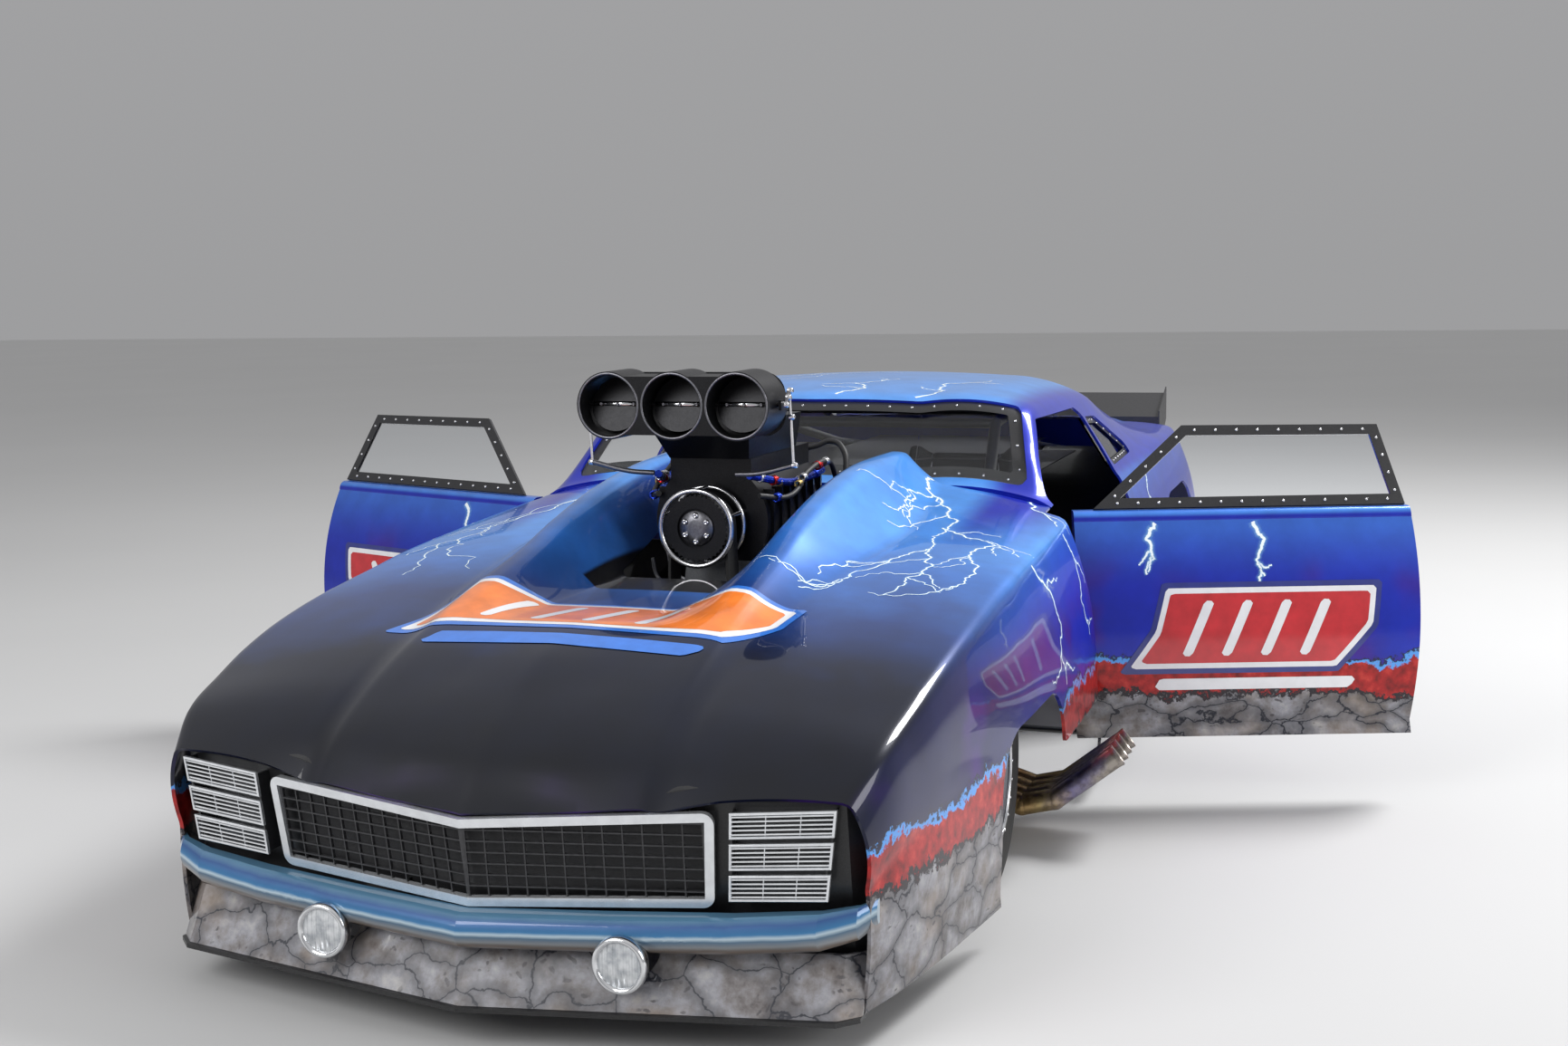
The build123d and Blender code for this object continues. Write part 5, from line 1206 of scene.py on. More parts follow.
@dataclass
class Door:
    """One door's place: maps its closed outside, by station and height, to where it stands open.

    Args:
        side: The door's side.
    """

    side: Side

    def opened(self, closed: Array) -> Array:
        """Swings left-hand closed points open, and mirrors them for the right-hand door.

        Args:
            closed: Points by x, station and z, on the left.

        Returns:
            The points by x, y and z.
        """
        c, s = math.cos(-DOOR_SWING), math.sin(-DOOR_SWING)
        x, y = closed[..., 0] - HINGE_X, closed[..., 1] - HINGE_STATION
        out = np.stack([x * c - y * s + HINGE_X, x * s + y * c + HINGE_STATION + NOSE_Y,
                        closed[..., 2]], -1)
        out[..., 0] *= self.side.value
        return out

    def skin(self, station: Array, z: Array, lift: float) -> Array:
        """Points on the outside of the open door, off its skin by a lift."""
        x = curve_through(*np.transpose(DOOR_PROFILE), z) + lift
        return self.opened(np.stack([x, station, z], -1))

    def frame_point(self, u: Array, v: Array, lift: float) -> tuple[Array, Array]:
        """Points on the window frame's outer face, and their normals.

        Args:
            u: Distances along the frame.
            v: Distances up it.
            lift: Distance off its face.

        Returns:
            The points and the normals.
        """
        normal = np.array(FRAME_OUT)
        closed = (np.array(FRAME_ORIGIN) + u[..., None] * np.array([0, 1.0, 0])
                  + v[..., None] * np.array(FRAME_UP) + normal * lift)
        return self.opened(closed), self.opened(closed + normal) - self.opened(closed)

    def dress(self) -> None:
        """Paints the door, puts fasteners round its window and a striker bar on its rear edge."""
        word = self.side.word
        body = f"{word}_door_body"
        set_look(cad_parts[f"{word}_door"], f"{word}_door")
        set_look(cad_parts[f"{word}_door_window_frame"], "satin_black")
        set_look(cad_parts[f"{word}_door_window"], "pane")
        middle = inset(np.array(FRAME_OUTLINE)[::-1], FRAME_BORDER / 2)
        spots = along_outline(middle, 0.062)
        points, normals = self.frame_point(spots[:, 0], spots[:, 1], 0.0)
        studs(f"{word}_window_fasteners", points, normals, 0.0045, 0.003, body=body)
        z = np.array([0.52, 0.6])
        low, high = self.opened(np.stack([np.full(2, 0.9), np.full(2, 3.045), z], -1))
        tube(f"{word}_striker", [low, (low + high) / 2, high], 0.006, "bright_steel", body)


# lightning and stripes

CLIFF = 0.09


class Way(Enum):
    """Which surface a flat layout is laid on."""

    HOOD = "down"
    LEFT_FLANK = "from the left"
    RIGHT_FLANK = "from the right"
    LEFT_DOOR = "left door"
    RIGHT_DOOR = "right door"


@dataclass
class Airbrush:
    """Lays bolts and coloured shapes on the paint from flat layouts.

    A layout point is x and station on the hood, and station and height elsewhere.

    Args:
        drape: The skins.
        lift: Height of the bolts above the paint.
        layer: Height of one layer of banner above the next.
        pitch: Spacing of a banner's grid.
        rim: How far the grid reaches past the banner.
    """

    drape: Drape
    lift: float = 0.0007
    layer: float = 0.0005
    pitch: float = 0.012
    rim: float = 0.003

    def lay(self, way: Way, points: Array, lift: float) -> Array:
        """Lays layout points on their surface; points over an opening come back as not-a-number.

        Args:
            way: Surface.
            points: Layout points.
            lift: Height above the paint.

        Returns:
            The points on the surface.
        """
        p, q = points[..., 0], points[..., 1]
        if way in (Way.LEFT_DOOR, Way.RIGHT_DOOR):
            return Door(Side.LEFT if way is Way.LEFT_DOOR else Side.RIGHT).skin(p, q, lift)
        if way is Way.HOOD:
            start, ahead = np.stack([p, q + NOSE_Y, np.full_like(p, ABOVE)], -1), (0, 0, -1)
        else:
            sign = 1 if way is Way.LEFT_FLANK else -1
            start, ahead = np.stack([np.full_like(p, sign * BESIDE), p + NOSE_Y, q], -1), (-sign, 0, 0)
        laid = self.drape.cast(start, ahead, lift)[0]
        laid[np.abs(laid - start).max(-1) < 1e-6] = np.nan
        return laid

    def body_of(self, way: Way) -> str:
        """The body that a surface rides on."""
        return {Way.LEFT_DOOR: "left_door_body", Way.RIGHT_DOOR: "right_door_body"}.get(way, CAR)

    def bolt(self, name: str, way: Way, width: float, seed: int, forks: int,
             knots: Sequence[Point2]) -> None:
        """A forked bolt of lightning.

        Args:
            name: Name of its pieces.
            way: Surface.
            width: Width of its glow at the root.
            seed: Seed of its jitter.
            forks: Number of branches.
            knots: Corners that it passes through.
        """
        chance = random.Random(seed)
        main = self._jagged(np.asarray(knots, float), 0.2, chance, 4)
        runs = [(main, width)]
        for _ in range(forks):
            i = chance.randrange(len(main) // 5, len(main) - 3)
            ahead = main[min(i + 3, len(main) - 1)] - main[i]
            turn = chance.choice((-1, 1)) * chance.uniform(0.5, 1.0)
            c, s = math.cos(turn), math.sin(turn)
            reach = chance.uniform(0.25, 0.5) * np.linalg.norm(main[-1] - main[0])
            off = np.array([ahead[0] * c - ahead[1] * s, ahead[0] * s + ahead[1] * c])
            off /= np.linalg.norm(off) + 1e-9
            tip = main[i] + off * reach
            runs.append((self._jagged(np.stack([main[i], tip]), 0.24, chance, 4), width * 0.7))
        parts = [self._ribbon(way, run, wide) for run, wide in runs]
        join_sheets(name, parts, "bolt", self.body_of(way))

    @staticmethod
    def _jagged(knots: Array, spread: float, chance: random.Random, rounds: int) -> Array:
        """Splits each run again and again at a point set off to one side.

        Args:
            knots: The line's corners.
            spread: Greatest offset, as a share of a run.
            chance: Source of the offsets.
            rounds: How often each run is split.

        Returns:
            The new line.
        """
        line = knots
        for _ in range(rounds):
            a, b = line[:-1], line[1:]
            off = np.stack([-(b - a)[:, 1], (b - a)[:, 0]], 1)
            throw = np.array([[chance.uniform(-spread, spread)] for _ in range(len(a))])
            middle = (a + b) / 2 + off * throw
            line = np.concatenate([np.stack([a, middle], 1).reshape(-1, 2), line[-1:]])
        return line

    def _ribbon(self, way: Way, line: Array, width: float) -> tuple[Array, Array]:
        """A ribbon of 7 points across, tapering to its tip, with its shares across and along.

        Args:
            way: Surface.
            line: Its middle.
            width: Width at the root.

        Returns:
            The points and the shares.
        """
        across = np.linspace(-1, 1, 7)
        ahead = np.gradient(line, axis=0)
        mean = np.ones(7) / 7
        smooth = np.stack([np.convolve(np.pad(run, 3, "edge"), mean, "valid") for run in ahead.T], 1)
        smooth /= np.linalg.norm(smooth, axis=1)[:, None] + 1e-9
        side = np.stack([-smooth[:, 1], smooth[:, 0]], 1)
        share = np.linspace(0, 1, len(line))
        half = width / 2 * (1 - 0.55 * share)
        flat = line[:, None] + side[:, None] * across[None, :, None] * half[:, None, None]
        uv = np.stack(np.broadcast_arrays((across[None] + 1) / 2, share[:, None]), 2)
        return self.lay(way, flat, self.lift), uv

    def patch(self, name: str, way: Way, outline: Sequence[Point2], look: str, layer: int) -> None:
        """A flat shape with straight edges, cut from a fine grid over its bounding box.

        Args:
            name: Object name.
            way: Surface.
            outline: Its corners.
            look: Name of its finish.
            layer: Its place in the stack.
        """
        corners = np.asarray(outline, float)
        low, high = corners.min(0) - self.rim, corners.max(0) + self.rim
        steps = [max(2, int((high[k] - low[k]) / self.pitch)) for k in (0, 1)]
        p, q = np.meshgrid(*[np.linspace(low[k], high[k], steps[k] + 1) for k in (0, 1)], indexing="ij")
        laid = self.lay(way, np.stack([p, q], -1), self.lift + self.layer * layer)
        field_ = np.where(np.isnan(laid[..., 0]), -0.01, signed_distance(outline, p, q))
        points, faces = trimmed(np.nan_to_num(laid), field_)
        dress(new_mesh(name, points, faces), look, self.body_of(way))


def stacked(grids: Sequence[Array]) -> tuple[Array, Array]:
    """Puts open grids one after another as points and quads.

    Args:
        grids: Grids of points.

    Returns:
        The points and the quads' corners.
    """
    starts = np.cumsum([0] + [grid.shape[0] * grid.shape[1] for grid in grids])
    faces = [quads(*grid.shape[:2]) + start for grid, start in zip(grids, starts)]
    return np.concatenate([grid.reshape(-1, 3) for grid in grids]), np.concatenate(faces)


def join_strips(name: str, parts: Sequence[Array], look: str) -> Piece:
    """Joins open grids of points into one flat-shaded mesh."""
    points, faces = stacked(parts)
    return dress(new_mesh(name, points, faces.tolist(), smooth=False), look)


def join_sheets(name: str, parts: Sequence[tuple[Array, Array]], look: str, body: str) -> None:
    """Joins grids with UVs into one mesh, without the faces over an opening or down a cliff.

    Args:
        name: Object name.
        parts: Each grid and its shares across and along.
        look: Its finish or recipe.
        body: The body it rides on.
    """
    spots, corners = stacked([grid for grid, _ in parts])
    uv = np.concatenate([shares.reshape(-1, 2) for _, shares in parts])
    reach = np.ptp(spots[corners], axis=1).max(-1)
    corners = corners[~(np.isnan(reach) | (reach > CLIFF))]
    used, compact = np.unique(corners, return_inverse=True)
    compact = compact.reshape(corners.shape)
    made = new_mesh(name, spots[used], compact.tolist())
    layer = made.data.uv_layers.new(name="across_along")
    layer.data.foreach_set("uv", uv[used][compact.reshape(-1)].astype(np.float32).reshape(-1))
    dress(made, look, body)


# windows


@dataclass
class Glass:
    """Borders and fasteners of the fixed panes.

    Args:
        shells: The surfaces that the panes lie in.
        sink: Depth of the print below the skin.
        outside: Distance from the middle that the quarter panes' fasteners are laid from.
    """

    shells: Shells
    sink: float = 0.0012
    outside: float = 1.4

    def build(self) -> None:
        """Adds a border and a row of fasteners to each fixed pane."""
        self._flat("windshield_border", WINDSHIELD_PLAN, 0.03, 0.04, (2.12, 2.4), 0.075)
        self._flat("backlight_border", BACKLIGHT_PLAN, 0.05, 0.028, (3.78, 4.35), 0.09)
        border = self.shells.border(
            "quarter_borders", spaced(3.05, 3.58, 0.006),
            lambda x, s, z: on_flanks(self._ring(QUARTER_GLASS, s, z, 0.022, 0.02), x, WINDOW_INNER),
            self.sink)
        drape = Drape(border)
        spots = along_outline(inset(np.array(QUARTER_GLASS), 0.01), 0.055)
        for side in Side:
            outside = np.full(len(spots), side.value * self.outside)
            start = np.stack([outside, spots[:, 0] + NOSE_Y, spots[:, 1]], -1)
            hits, normals = drape.cast(start, (-side.value, 0, 0), 0.0)
            studs(f"{side.word}_quarter_fasteners", hits, normals, 0.004, 0.0026)

    @staticmethod
    def _ring(outline: Sequence[Point2], p: Array, q: Array, radius: float, width: float) -> Array:
        """A band of a width along the inside of an outline."""
        depth = signed_distance(outline, p, q, radius)
        return np.minimum(depth + 0.004, width - depth)

    def _flat(self, name: str, outline: Sequence[Point2], radius: float, width: float,
              stations: tuple[float, float], pitch: float) -> None:
        """A border that is laid out in plan, and its fasteners.

        Args:
            name: Object name.
            outline: Corners of the opening.
            radius: Radius of its corners.
            width: Width of the border.
            stations: Where its rows start and end.
            pitch: Spacing of the fasteners.
        """
        border = self.shells.border(
            name, spaced(*stations, 0.006),
            lambda x, s, z: np.minimum(self._ring(outline, x, s, radius, width), z - SCREEN_FOOT), self.sink)
        spots = along_outline(inset(np.array(outline), width / 2), pitch)
        start = np.stack([spots[:, 0], spots[:, 1] + NOSE_Y, np.full(len(spots), ABOVE)], -1)
        hits, normals = Drape(border).cast(start, (0, 0, -1), 0.0)
        studs(name.replace("border", "fasteners"), hits, normals, 0.0042, 0.0028)


# engine


@dataclass(frozen=True)
class Hat:
    """Injector hat sizes, in metres."""

    front: float = 1.178
    bore_z: float = 1.25
    pitch: float = 0.182
    bore: float = 0.082
    shaft: float = 1.248
    lever_x: float = 0.287


# Lines on the left: name, radius, finish and points as x, station and z
LINES = (
    ("fuel_rail", 0.011, "blue_anodised",
     ((0.135, 1.395, 1.045), (0.155, 1.46, 1.03), (0.185, 1.56, 1.01), (0.19, 1.72, 1.005),
      (0.185, 1.88, 1.01))),
    ("fuel_line", 0.008, "hose_rubber",
     ((0.15, 1.43, 0.985), (0.205, 1.52, 0.975), (0.215, 1.66, 1.03), (0.23, 1.8, 1.045),
      (0.215, 1.92, 0.985))),
    ("oil_line", 0.009, "hose_rubber",
     ((0.08, 1.99, 1.06), (0.13, 1.99, 1.07), (0.175, 2.0, 1.085), (0.225, 1.97, 1.06),
      (0.245, 1.93, 0.995))),
)

# Collars on the lines: finish, radius and middles
COLLARS = (
    ("red_anodised", 0.0145, ((0.168, 1.5, 1.021), (0.222, 1.73, 1.04))),
    ("bright_steel", 0.0135,
     ((0.15, 1.445, 1.034), (0.19, 1.65, 1.007), (0.228, 1.78, 1.046), (0.213, 1.62, 1.017))),
    ("brass_fitting", 0.012, ((0.176, 1.53, 1.013), (0.212, 1.585, 1.003))),
    ("blue_anodised", 0.014, ((0.19, 1.8, 1.007), (0.184, 1.48, 0.976))),
)
HEADER_RIM = ((0.0302, -0.012), (0.0316, -0.002), (0.0316, 0.003), (0.0285, 0.0035), (0.0262, 0.0012))
# Dark disc across a header's mouth: soot and the painted shade of the hollow pipe
HEADER_SOOT_AND_SHADE_DISC = ((0.0262, 0.0012), (0.015, 0.0008), (0.0004, 0.0006))


@dataclass
class Engine:
    """Small parts of the supercharged engine: rims, shafts, linkages, pulley teeth, lines and fittings."""

    hat: Hat = field(default_factory=Hat)
    pulley_station: float = 1.378
    pulley_z: float = 0.904
    pulley_radius: float = 0.078

    def build(self) -> None:
        """Adds them all."""
        self._mouths()
        self._linkages()
        self._pulley()
        self._lines()
        self._rails()
        self._tips()

    def _mouths(self) -> None:
        """A thin lip round each bore, and a screwed shaft across it."""
        hat = self.hat
        for i, x in enumerate((-hat.pitch, 0.0, hat.pitch)):
            centre = (x, hat.front + NOSE_Y, hat.bore_z)
            lip = [(0.002 + 0.0035 * math.cos(a), hat.bore + 0.0035 + 0.0035 * math.sin(a))
                   for a in np.linspace(0, 2 * np.pi, 12, endpoint=False)]
            dress(lathe(f"bore_lip_{i}", lip, centre, "y", 72), "dark_steel")
            shaft = [(-0.072, 0.0), (-0.072, 0.0072), (0.072, 0.0072), (0.072, 0.0)]
            dress(lathe(f"throttle_shaft_{i}", shaft, (x, hat.shaft + NOSE_Y, hat.bore_z), "x", 20, False),
                  "polished_alloy")
            spots = np.array([(x + d, hat.shaft + NOSE_Y - 0.007, hat.bore_z) for d in (-0.048, 0, 0.048)])
            studs(f"throttle_screws_{i}", spots, [0.0, -1.0, 0.0], 0.005, 0.004, "dark_steel")

    def _linkages(self) -> None:
        """A lever, an upright rod and their joints beside the hat on each side."""
        hat = self.hat
        for side in Side:
            x, y = side.value * (hat.lever_x + 0.006), hat.shaft + NOSE_Y
            rod = [(x, y + 0.035, hat.bore_z + 0.035), (x, y + 0.05, 1.18), (x, y + 0.06, 1.085)]
            tube(f"{side.word}_throttle_rod", rod, 0.0042, "bright_steel")
            lever = [(x, y + out, hat.bore_z + up)
                     for out, up in ((0.0, -0.004), (0.018, 0.018), (0.035, 0.036))]
            tube(f"{side.word}_lever", lever, 0.0062, "dark_steel")
            joints = np.array([(x, y, hat.bore_z), (x, y + 0.035, hat.bore_z + 0.035),
                               (x, y + 0.02, hat.bore_z + 0.018), (x, y + 0.06, 1.085),
                               (x, y + 0.044, 1.215)])
            studs(f"{side.word}_rod_ends", joints, [float(side.value), 0.0, 0.0], 0.0085, 0.012)

    def _pulley(self) -> None:
        """A toothed rim, a bolt circle and a hub on the pulley's front."""
        centre = (0.0, self.pulley_station + NOSE_Y, self.pulley_z)
        count, radius = 40, self.pulley_radius
        turn = np.repeat(np.linspace(0, 2 * np.pi, count, endpoint=False), 4) + np.tile(
            np.array([0.0, 0.25, 0.5, 0.75]) * 2 * np.pi / count, count)
        out = np.tile([radius + 0.0145, radius + 0.0145, radius + 0.01, radius + 0.01], count)
        rows = [np.stack([out * np.cos(turn), np.full_like(turn, y), out * np.sin(turn)], 1)
                for y in (-0.047, -0.041)]
        inner = np.stack([0.055 * np.cos(turn), np.full_like(turn, -0.047), 0.055 * np.sin(turn)], 1)
        grid = np.stack([rows[1], rows[0], inner]) + np.array(centre)
        faces = quads(*grid.shape[:2], False, True).tolist()
        dress(new_mesh("pulley_rim", grid, faces, smooth=False), "anodised_black")
        angles = np.radians(np.arange(6) * 60 + 30)
        spots = np.stack([0.036 * np.cos(angles), np.full(6, -0.047), 0.036 * np.sin(angles)], 1)
        studs("pulley_bolts", spots + np.array(centre), [0.0, -1.0, 0.0], 0.0085, 0.009)
        hub = [(-0.05, 0.0), (-0.05, 0.02), (-0.046, 0.048), (-0.04, 0.05)]
        dress(lathe("pulley_hub", hub, centre, "y", 48, False), "dark_steel")

    def _lines(self) -> None:
        """Fuel and oil lines with collars along the blower's sides, and the throttle rods' brackets."""
        for side in Side:
            s = side.value
            for name, radius, look, points in LINES:
                run = [(s * x, station + NOSE_Y, z) for x, station, z in points]
                tube(f"{side.word}_{name}", run, radius, look)
            x, y = self.hat.lever_x + 0.006, self.hat.shaft + NOSE_Y
            bracket = [(s * x, y + 0.06, 1.085), (s * 0.19, y + 0.075, 1.06), (s * 0.12, y + 0.085, 1.055)]
            tube(f"{side.word}_rod_bracket", bracket, 0.007, "dark_steel")
            for k, (look, radius, places) in enumerate(COLLARS):
                ring = [(-0.014, radius * 0.72), (-0.012, radius), (-0.003, radius), (0.0, radius * 0.85),
                        (0.003, radius), (0.012, radius), (0.014, radius * 0.72)]
                for j, (x, station, z) in enumerate(places):
                    centre = (s * x, station + NOSE_Y, z)
                    dress(lathe(f"{side.word}_fitting_{k}_{j}", ring, centre, "y", 6), look)

    def _tips(self) -> None:
        """Rolled lips on the ends of the headers, and a dark disc across each mouth: soot and the painted
        shade of the pipe's hollow.
        """
        turn = np.linspace(2 * np.pi, 0, 33)[:, None]
        for side in Side:
            ahead = np.array([side.value * 0.165, 0.045, 0.124])
            ahead /= np.linalg.norm(ahead)
            across = np.cross(ahead, (0.0, 0.0, 1.0))
            across /= np.linalg.norm(across)
            circle = np.cos(turn) * across + np.sin(turn) * np.cross(across, ahead)
            lips, soot_and_shade_discs = [], []
            for port in range(4):
                end = np.array([side.value * 1.1, 1.655 + port * 0.066 + NOSE_Y, 0.262])
                lips.append(np.stack([end + ahead * lift + circle * radius for radius, lift in HEADER_RIM]))
                # A dark disc across the mouth: soot and painted shade of the pipe's hollow.
                soot_and_shade_discs.append(np.stack([end + ahead * lift + circle * radius for radius, lift in HEADER_SOOT_AND_SHADE_DISC]))
            join_strips(f"{side.word}_header_lips", lips, "headers")
            join_strips(f"{side.word}_header_bores", soot_and_shade_discs, "hose_rubber")

    def _rails(self) -> None:
        """Cap screws along the blower's base and nozzles along the manifold's sides."""
        y = np.linspace(1.5, 1.9, 8) + NOSE_Y
        for side in Side:
            s = float(side.value)
            base = np.stack([np.full(8, s * 0.146), y, np.full(8, 0.812)], 1)
            studs(f"{side.word}_blower_studs", base, [s * 0.6, 0.0, 0.8], 0.008, 0.012)
            for i, place in enumerate(y[::2]):
                run = [(s * 0.13, place, 0.7), (s * 0.19, place, 0.735), (s * 0.205, place, 0.79)]
                tube(f"{side.word}_nozzle_{i}", run, 0.005, "brushed_alloy")


# wheels


@dataclass
class Wheel:
    """A tyre shaped round its CAD ring, with its wheel's small parts.

    Args:
        node: Start of the CAD nodes' names, such as left_front.
        x: Middle of the tyre across the car, as a distance.
        station: The axle's station.
        radius: Outer radius.
        width: Tread and wall width.
        rim: Rim radius.
        rear: Whether it is a rear slick.
    """

    node: str
    x: float
    station: float
    radius: float
    width: float
    rim: float
    rear: bool

    def build(self, side: Side) -> None:
        """Adds the tyre, the beadlock ring and the nuts.

        The wall bulges by a sine of its height between rim and tread, and fine ribs ring the
        shoulder.

        Args:
            side: The side that the wheel is on.
        """
        body = f"{side.word}_{self.node}_roller"
        centre = (side.value * self.x, self.station + NOSE_Y, self.radius)
        half, tread, rim = self.width / 2, self.radius, self.rim
        shoulder = 0.024 if self.rear else 0.016
        wall = np.linspace(0, 1, 15)
        rows = [(half - 0.008 + 0.0065 * math.sin(math.pi * w) + 0.001 * math.sin(40 * w),
                 rim + 0.004 + (tread - shoulder - rim - 0.004) * w) for w in wall]
        turn = np.linspace(0.12, 1.0, 7) * math.pi / 2
        rows += [(half - 0.008 - shoulder * (1 - math.cos(a)), tread - shoulder + shoulder * math.sin(a))
                 for a in turn]
        if self.rear:
            inner = half - 0.008 - shoulder
            rows += [(inner * 0.86 + d, tread - depth) for d, depth in
                     ((0.003, 0), (0.002, 0.002), (-0.002, 0.002), (-0.003, 0))]
        else:
            rows += [(0.022, tread), (0.021, tread - 0.003), (0.016, tread - 0.003), (0.015, tread)]
        profile = rows + [(-w, r) for w, r in rows[::-1]]
        profile += [(-half + 0.01, rim + 0.0008), (half - 0.01, rim + 0.0008)]
        tyre = lathe(f"{body}_tyre", profile, centre, "x", 128)
        dress(tyre, "slick" if self.rear else "front_rubber", body, f"{side.word}_{self.node}_tyre")
        s = float(side.value)
        lock = [(s * (half - 0.007), rim - 0.011), (s * (half - 0.002), rim - 0.01),
                (s * (half - 0.002), rim + 0.001), (s * (half - 0.007), rim + 0.002)]
        dress(lathe(f"{body}_beadlock", lock, centre, "x", 96), "polished_alloy", body)
        self._bolts(f"{body}_beadlock_bolts", 24, rim - 0.0045, half - 0.0025, 0.0042, centre, s, body)
        face, circle = (0.06 + 0.005, 0.075) if self.rear else (0.022 + 0.005, 0.0475)
        self._bolts(f"{body}_wheel_nuts", 5, circle, face, 0.0095, centre, s, body)

    @staticmethod
    def _bolts(name: str, count: int, ring: float, out: float, radius: float, centre: Sequence[float],
               s: float, body: str) -> None:
        """A circle of bolt heads that face outwards.

        Args:
            name: Object name.
            count: How many.
            ring: Radius of the circle.
            out: Distance from the tyre's middle.
            radius: Radius of a head.
            centre: Middle of the tyre.
            s: Sign of the side.
            body: The body they ride on.
        """
        turn = np.linspace(0, 2 * np.pi, count, endpoint=False)
        spots = np.stack([np.full(count, s * out), ring * np.cos(turn), ring * np.sin(turn)], 1)
        studs(name, spots + np.asarray(centre), [s, 0.0, 0.0], radius, radius * 0.9, body=body)


# lamps


# Section of a lamp frame: share in from its edge, and lift
FRAME_STEPS = ((0.0, 0.0), (0.0, 0.008), (0.007, 0.0095), (0.021, 0.0095), (0.026, 0.008), (0.026, 0.0))
BEZEL = ((-0.004, 0.047), (-0.01, 0.052), (-0.01, 0.058), (-0.002, 0.061), (0.012, 0.06), (0.012, 0.047))


@dataclass
class Lamps:
    """Three framed grids a side over the headlamps, the dark mesh behind the grille, and the fog lamps.

    Args:
        outline: Corners of the left cover, as x, station and z, from the inner top round by the outer top.
        bands: Shares of the height that each framed grid takes.
        fog_x: Middle of a fog lamp across the car, as a distance.
        fog_z: Its height.
    """

    outline: tuple[Colour, ...] = ((0.563, 0.094, 0.512), (0.781, 0.129, 0.525), (0.757, 0.136, 0.331),
                                   (0.552, 0.11, 0.32))
    bands: tuple[Point2, ...] = ((0.0, 0.295), (0.35, 0.648), (0.703, 1.0))
    fog_x: float = 0.351
    fog_z: float = 0.201

    def build(self) -> None:
        """Adds the pieces on both sides."""
        for side in Side:
            parts = [part for band in self.bands for part in self._unit(band, side)]
            cover = join_strips(f"{side.word}_lamp_cover", parts, "frame_silver")
            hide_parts("lamp_louvres")
            self._fog(side)
        self._mesh()

    def _place(self, u: Array, v: Array, lift: float, side: Side) -> Array:
        """Points of the cover by their shares across and down, moved forwards by a lift.

        Args:
            u: Shares across.
            v: Shares down.
            lift: Distance forwards.
            side: The side.

        Returns:
            The points.
        """
        corners = np.asarray(self.outline)
        u, v = u[..., None], v[..., None]
        top = corners[0] * (1 - u) + corners[1] * u
        low = corners[3] * (1 - u) + corners[2] * u
        out = top * (1 - v) + low * v
        out[..., 0] *= side.value
        out[..., 1] += NOSE_Y - lift
        return out

    def _unit(self, band: Point2, side: Side) -> list[Array]:
        """A framed grid: a raised rectangular frame, five thin slats and upright wires.

        Each part is a strip of rows round a closed loop, or four rows along a bar.

        Args:
            band: Shares of the height that it takes.
            side: The side.

        Returns:
            The parts, as grids.
        """
        high, low = band
        loops = []
        for edge, lift in FRAME_STEPS:
            top, foot = high + edge * 1.15, low - edge * 1.15
            loops.append(self._place(np.array([edge, 1 - edge, 1 - edge, edge, edge]),
                                     np.array([top, top, foot, foot, top]), lift, side))
        parts = [np.stack(loops)]
        share = np.linspace(0.02, 0.98, 9)
        for k in range(1, 6):
            v = high + (low - high) * k / 6
            rows = [self._place(share, np.full_like(share, v + d), lift, side) for d, lift in
                    ((-0.0085, 0.001), (-0.0085, 0.006), (0.0085, 0.006), (0.0085, 0.001))]
            parts.append(np.stack(rows))
        upright = np.linspace(high + 0.02, low - 0.02, 5)
        for u in (0.34, 0.67):
            rows = [self._place(np.full_like(upright, u + d), upright, lift, side) for d, lift in
                    ((-0.0045, 0.0), (-0.0045, 0.0035), (0.0045, 0.0035), (0.0045, 0.0))]
            parts.append(np.stack(rows))
        return parts

    def _mesh(self) -> None:
        """A black woven mesh just behind the grille, in two flat halves."""
        u = np.linspace(-1, 1, 41)[:, None]
        v = np.linspace(0, 1, 13)[None, :]
        x = u * (0.52 - 0.012 * v)
        station = 0.0195 + np.abs(u) * 0.101 + v * 0.028
        z = (0.48 + 0.026 * np.abs(u)) * (1 - v) + (0.294 + 0.012 * np.abs(u)) * v
        grid = np.stack(np.broadcast_arrays(x, station + NOSE_Y, z), 2)
        panel = join_strips("grille_mesh", [grid], "hose_rubber")
        thicken(panel, 0.001)

    def _fog(self, side: Side) -> None:
        """A chromed bezel round a fluted lens.

        Args:
            side: The side.
        """
        centre = (side.value * self.fog_x, NOSE_Y, self.fog_z)
        dress(lathe(f"{side.word}_fog_bezel", BEZEL, centre, "y", 72), "polished_alloy")
        rows = [(-0.0065 + 0.004 * (r / 0.047) ** 2, r) for r in np.linspace(0.0005, 0.047, 12)]
        dress(lathe(f"{side.word}_fog_lens", rows, centre, "y", 72, False), "fog_lens")


# padded pieces


# Seat's middle as station and height: over the cushion and up the front, then under it and up the back
SEAT_FRONT = (
    (2.562, 0.235), (2.56, 0.33), (2.575, 0.395), (2.64, 0.405), (2.72, 0.372), (2.79, 0.345),
    (2.815, 0.4), (2.835, 0.5), (2.855, 0.64), (2.868, 0.76), (2.882, 0.88), (2.897, 0.945),
    (2.92, 0.962), (2.938, 0.955))
SEAT_BACK = (
    (2.566, 0.2), (2.6, 0.193), (2.7, 0.192), (2.84, 0.193), (2.885, 0.215), (2.905, 0.35),
    (2.925, 0.5), (2.94, 0.68), (2.952, 0.82), (2.958, 0.89), (2.95, 0.935))


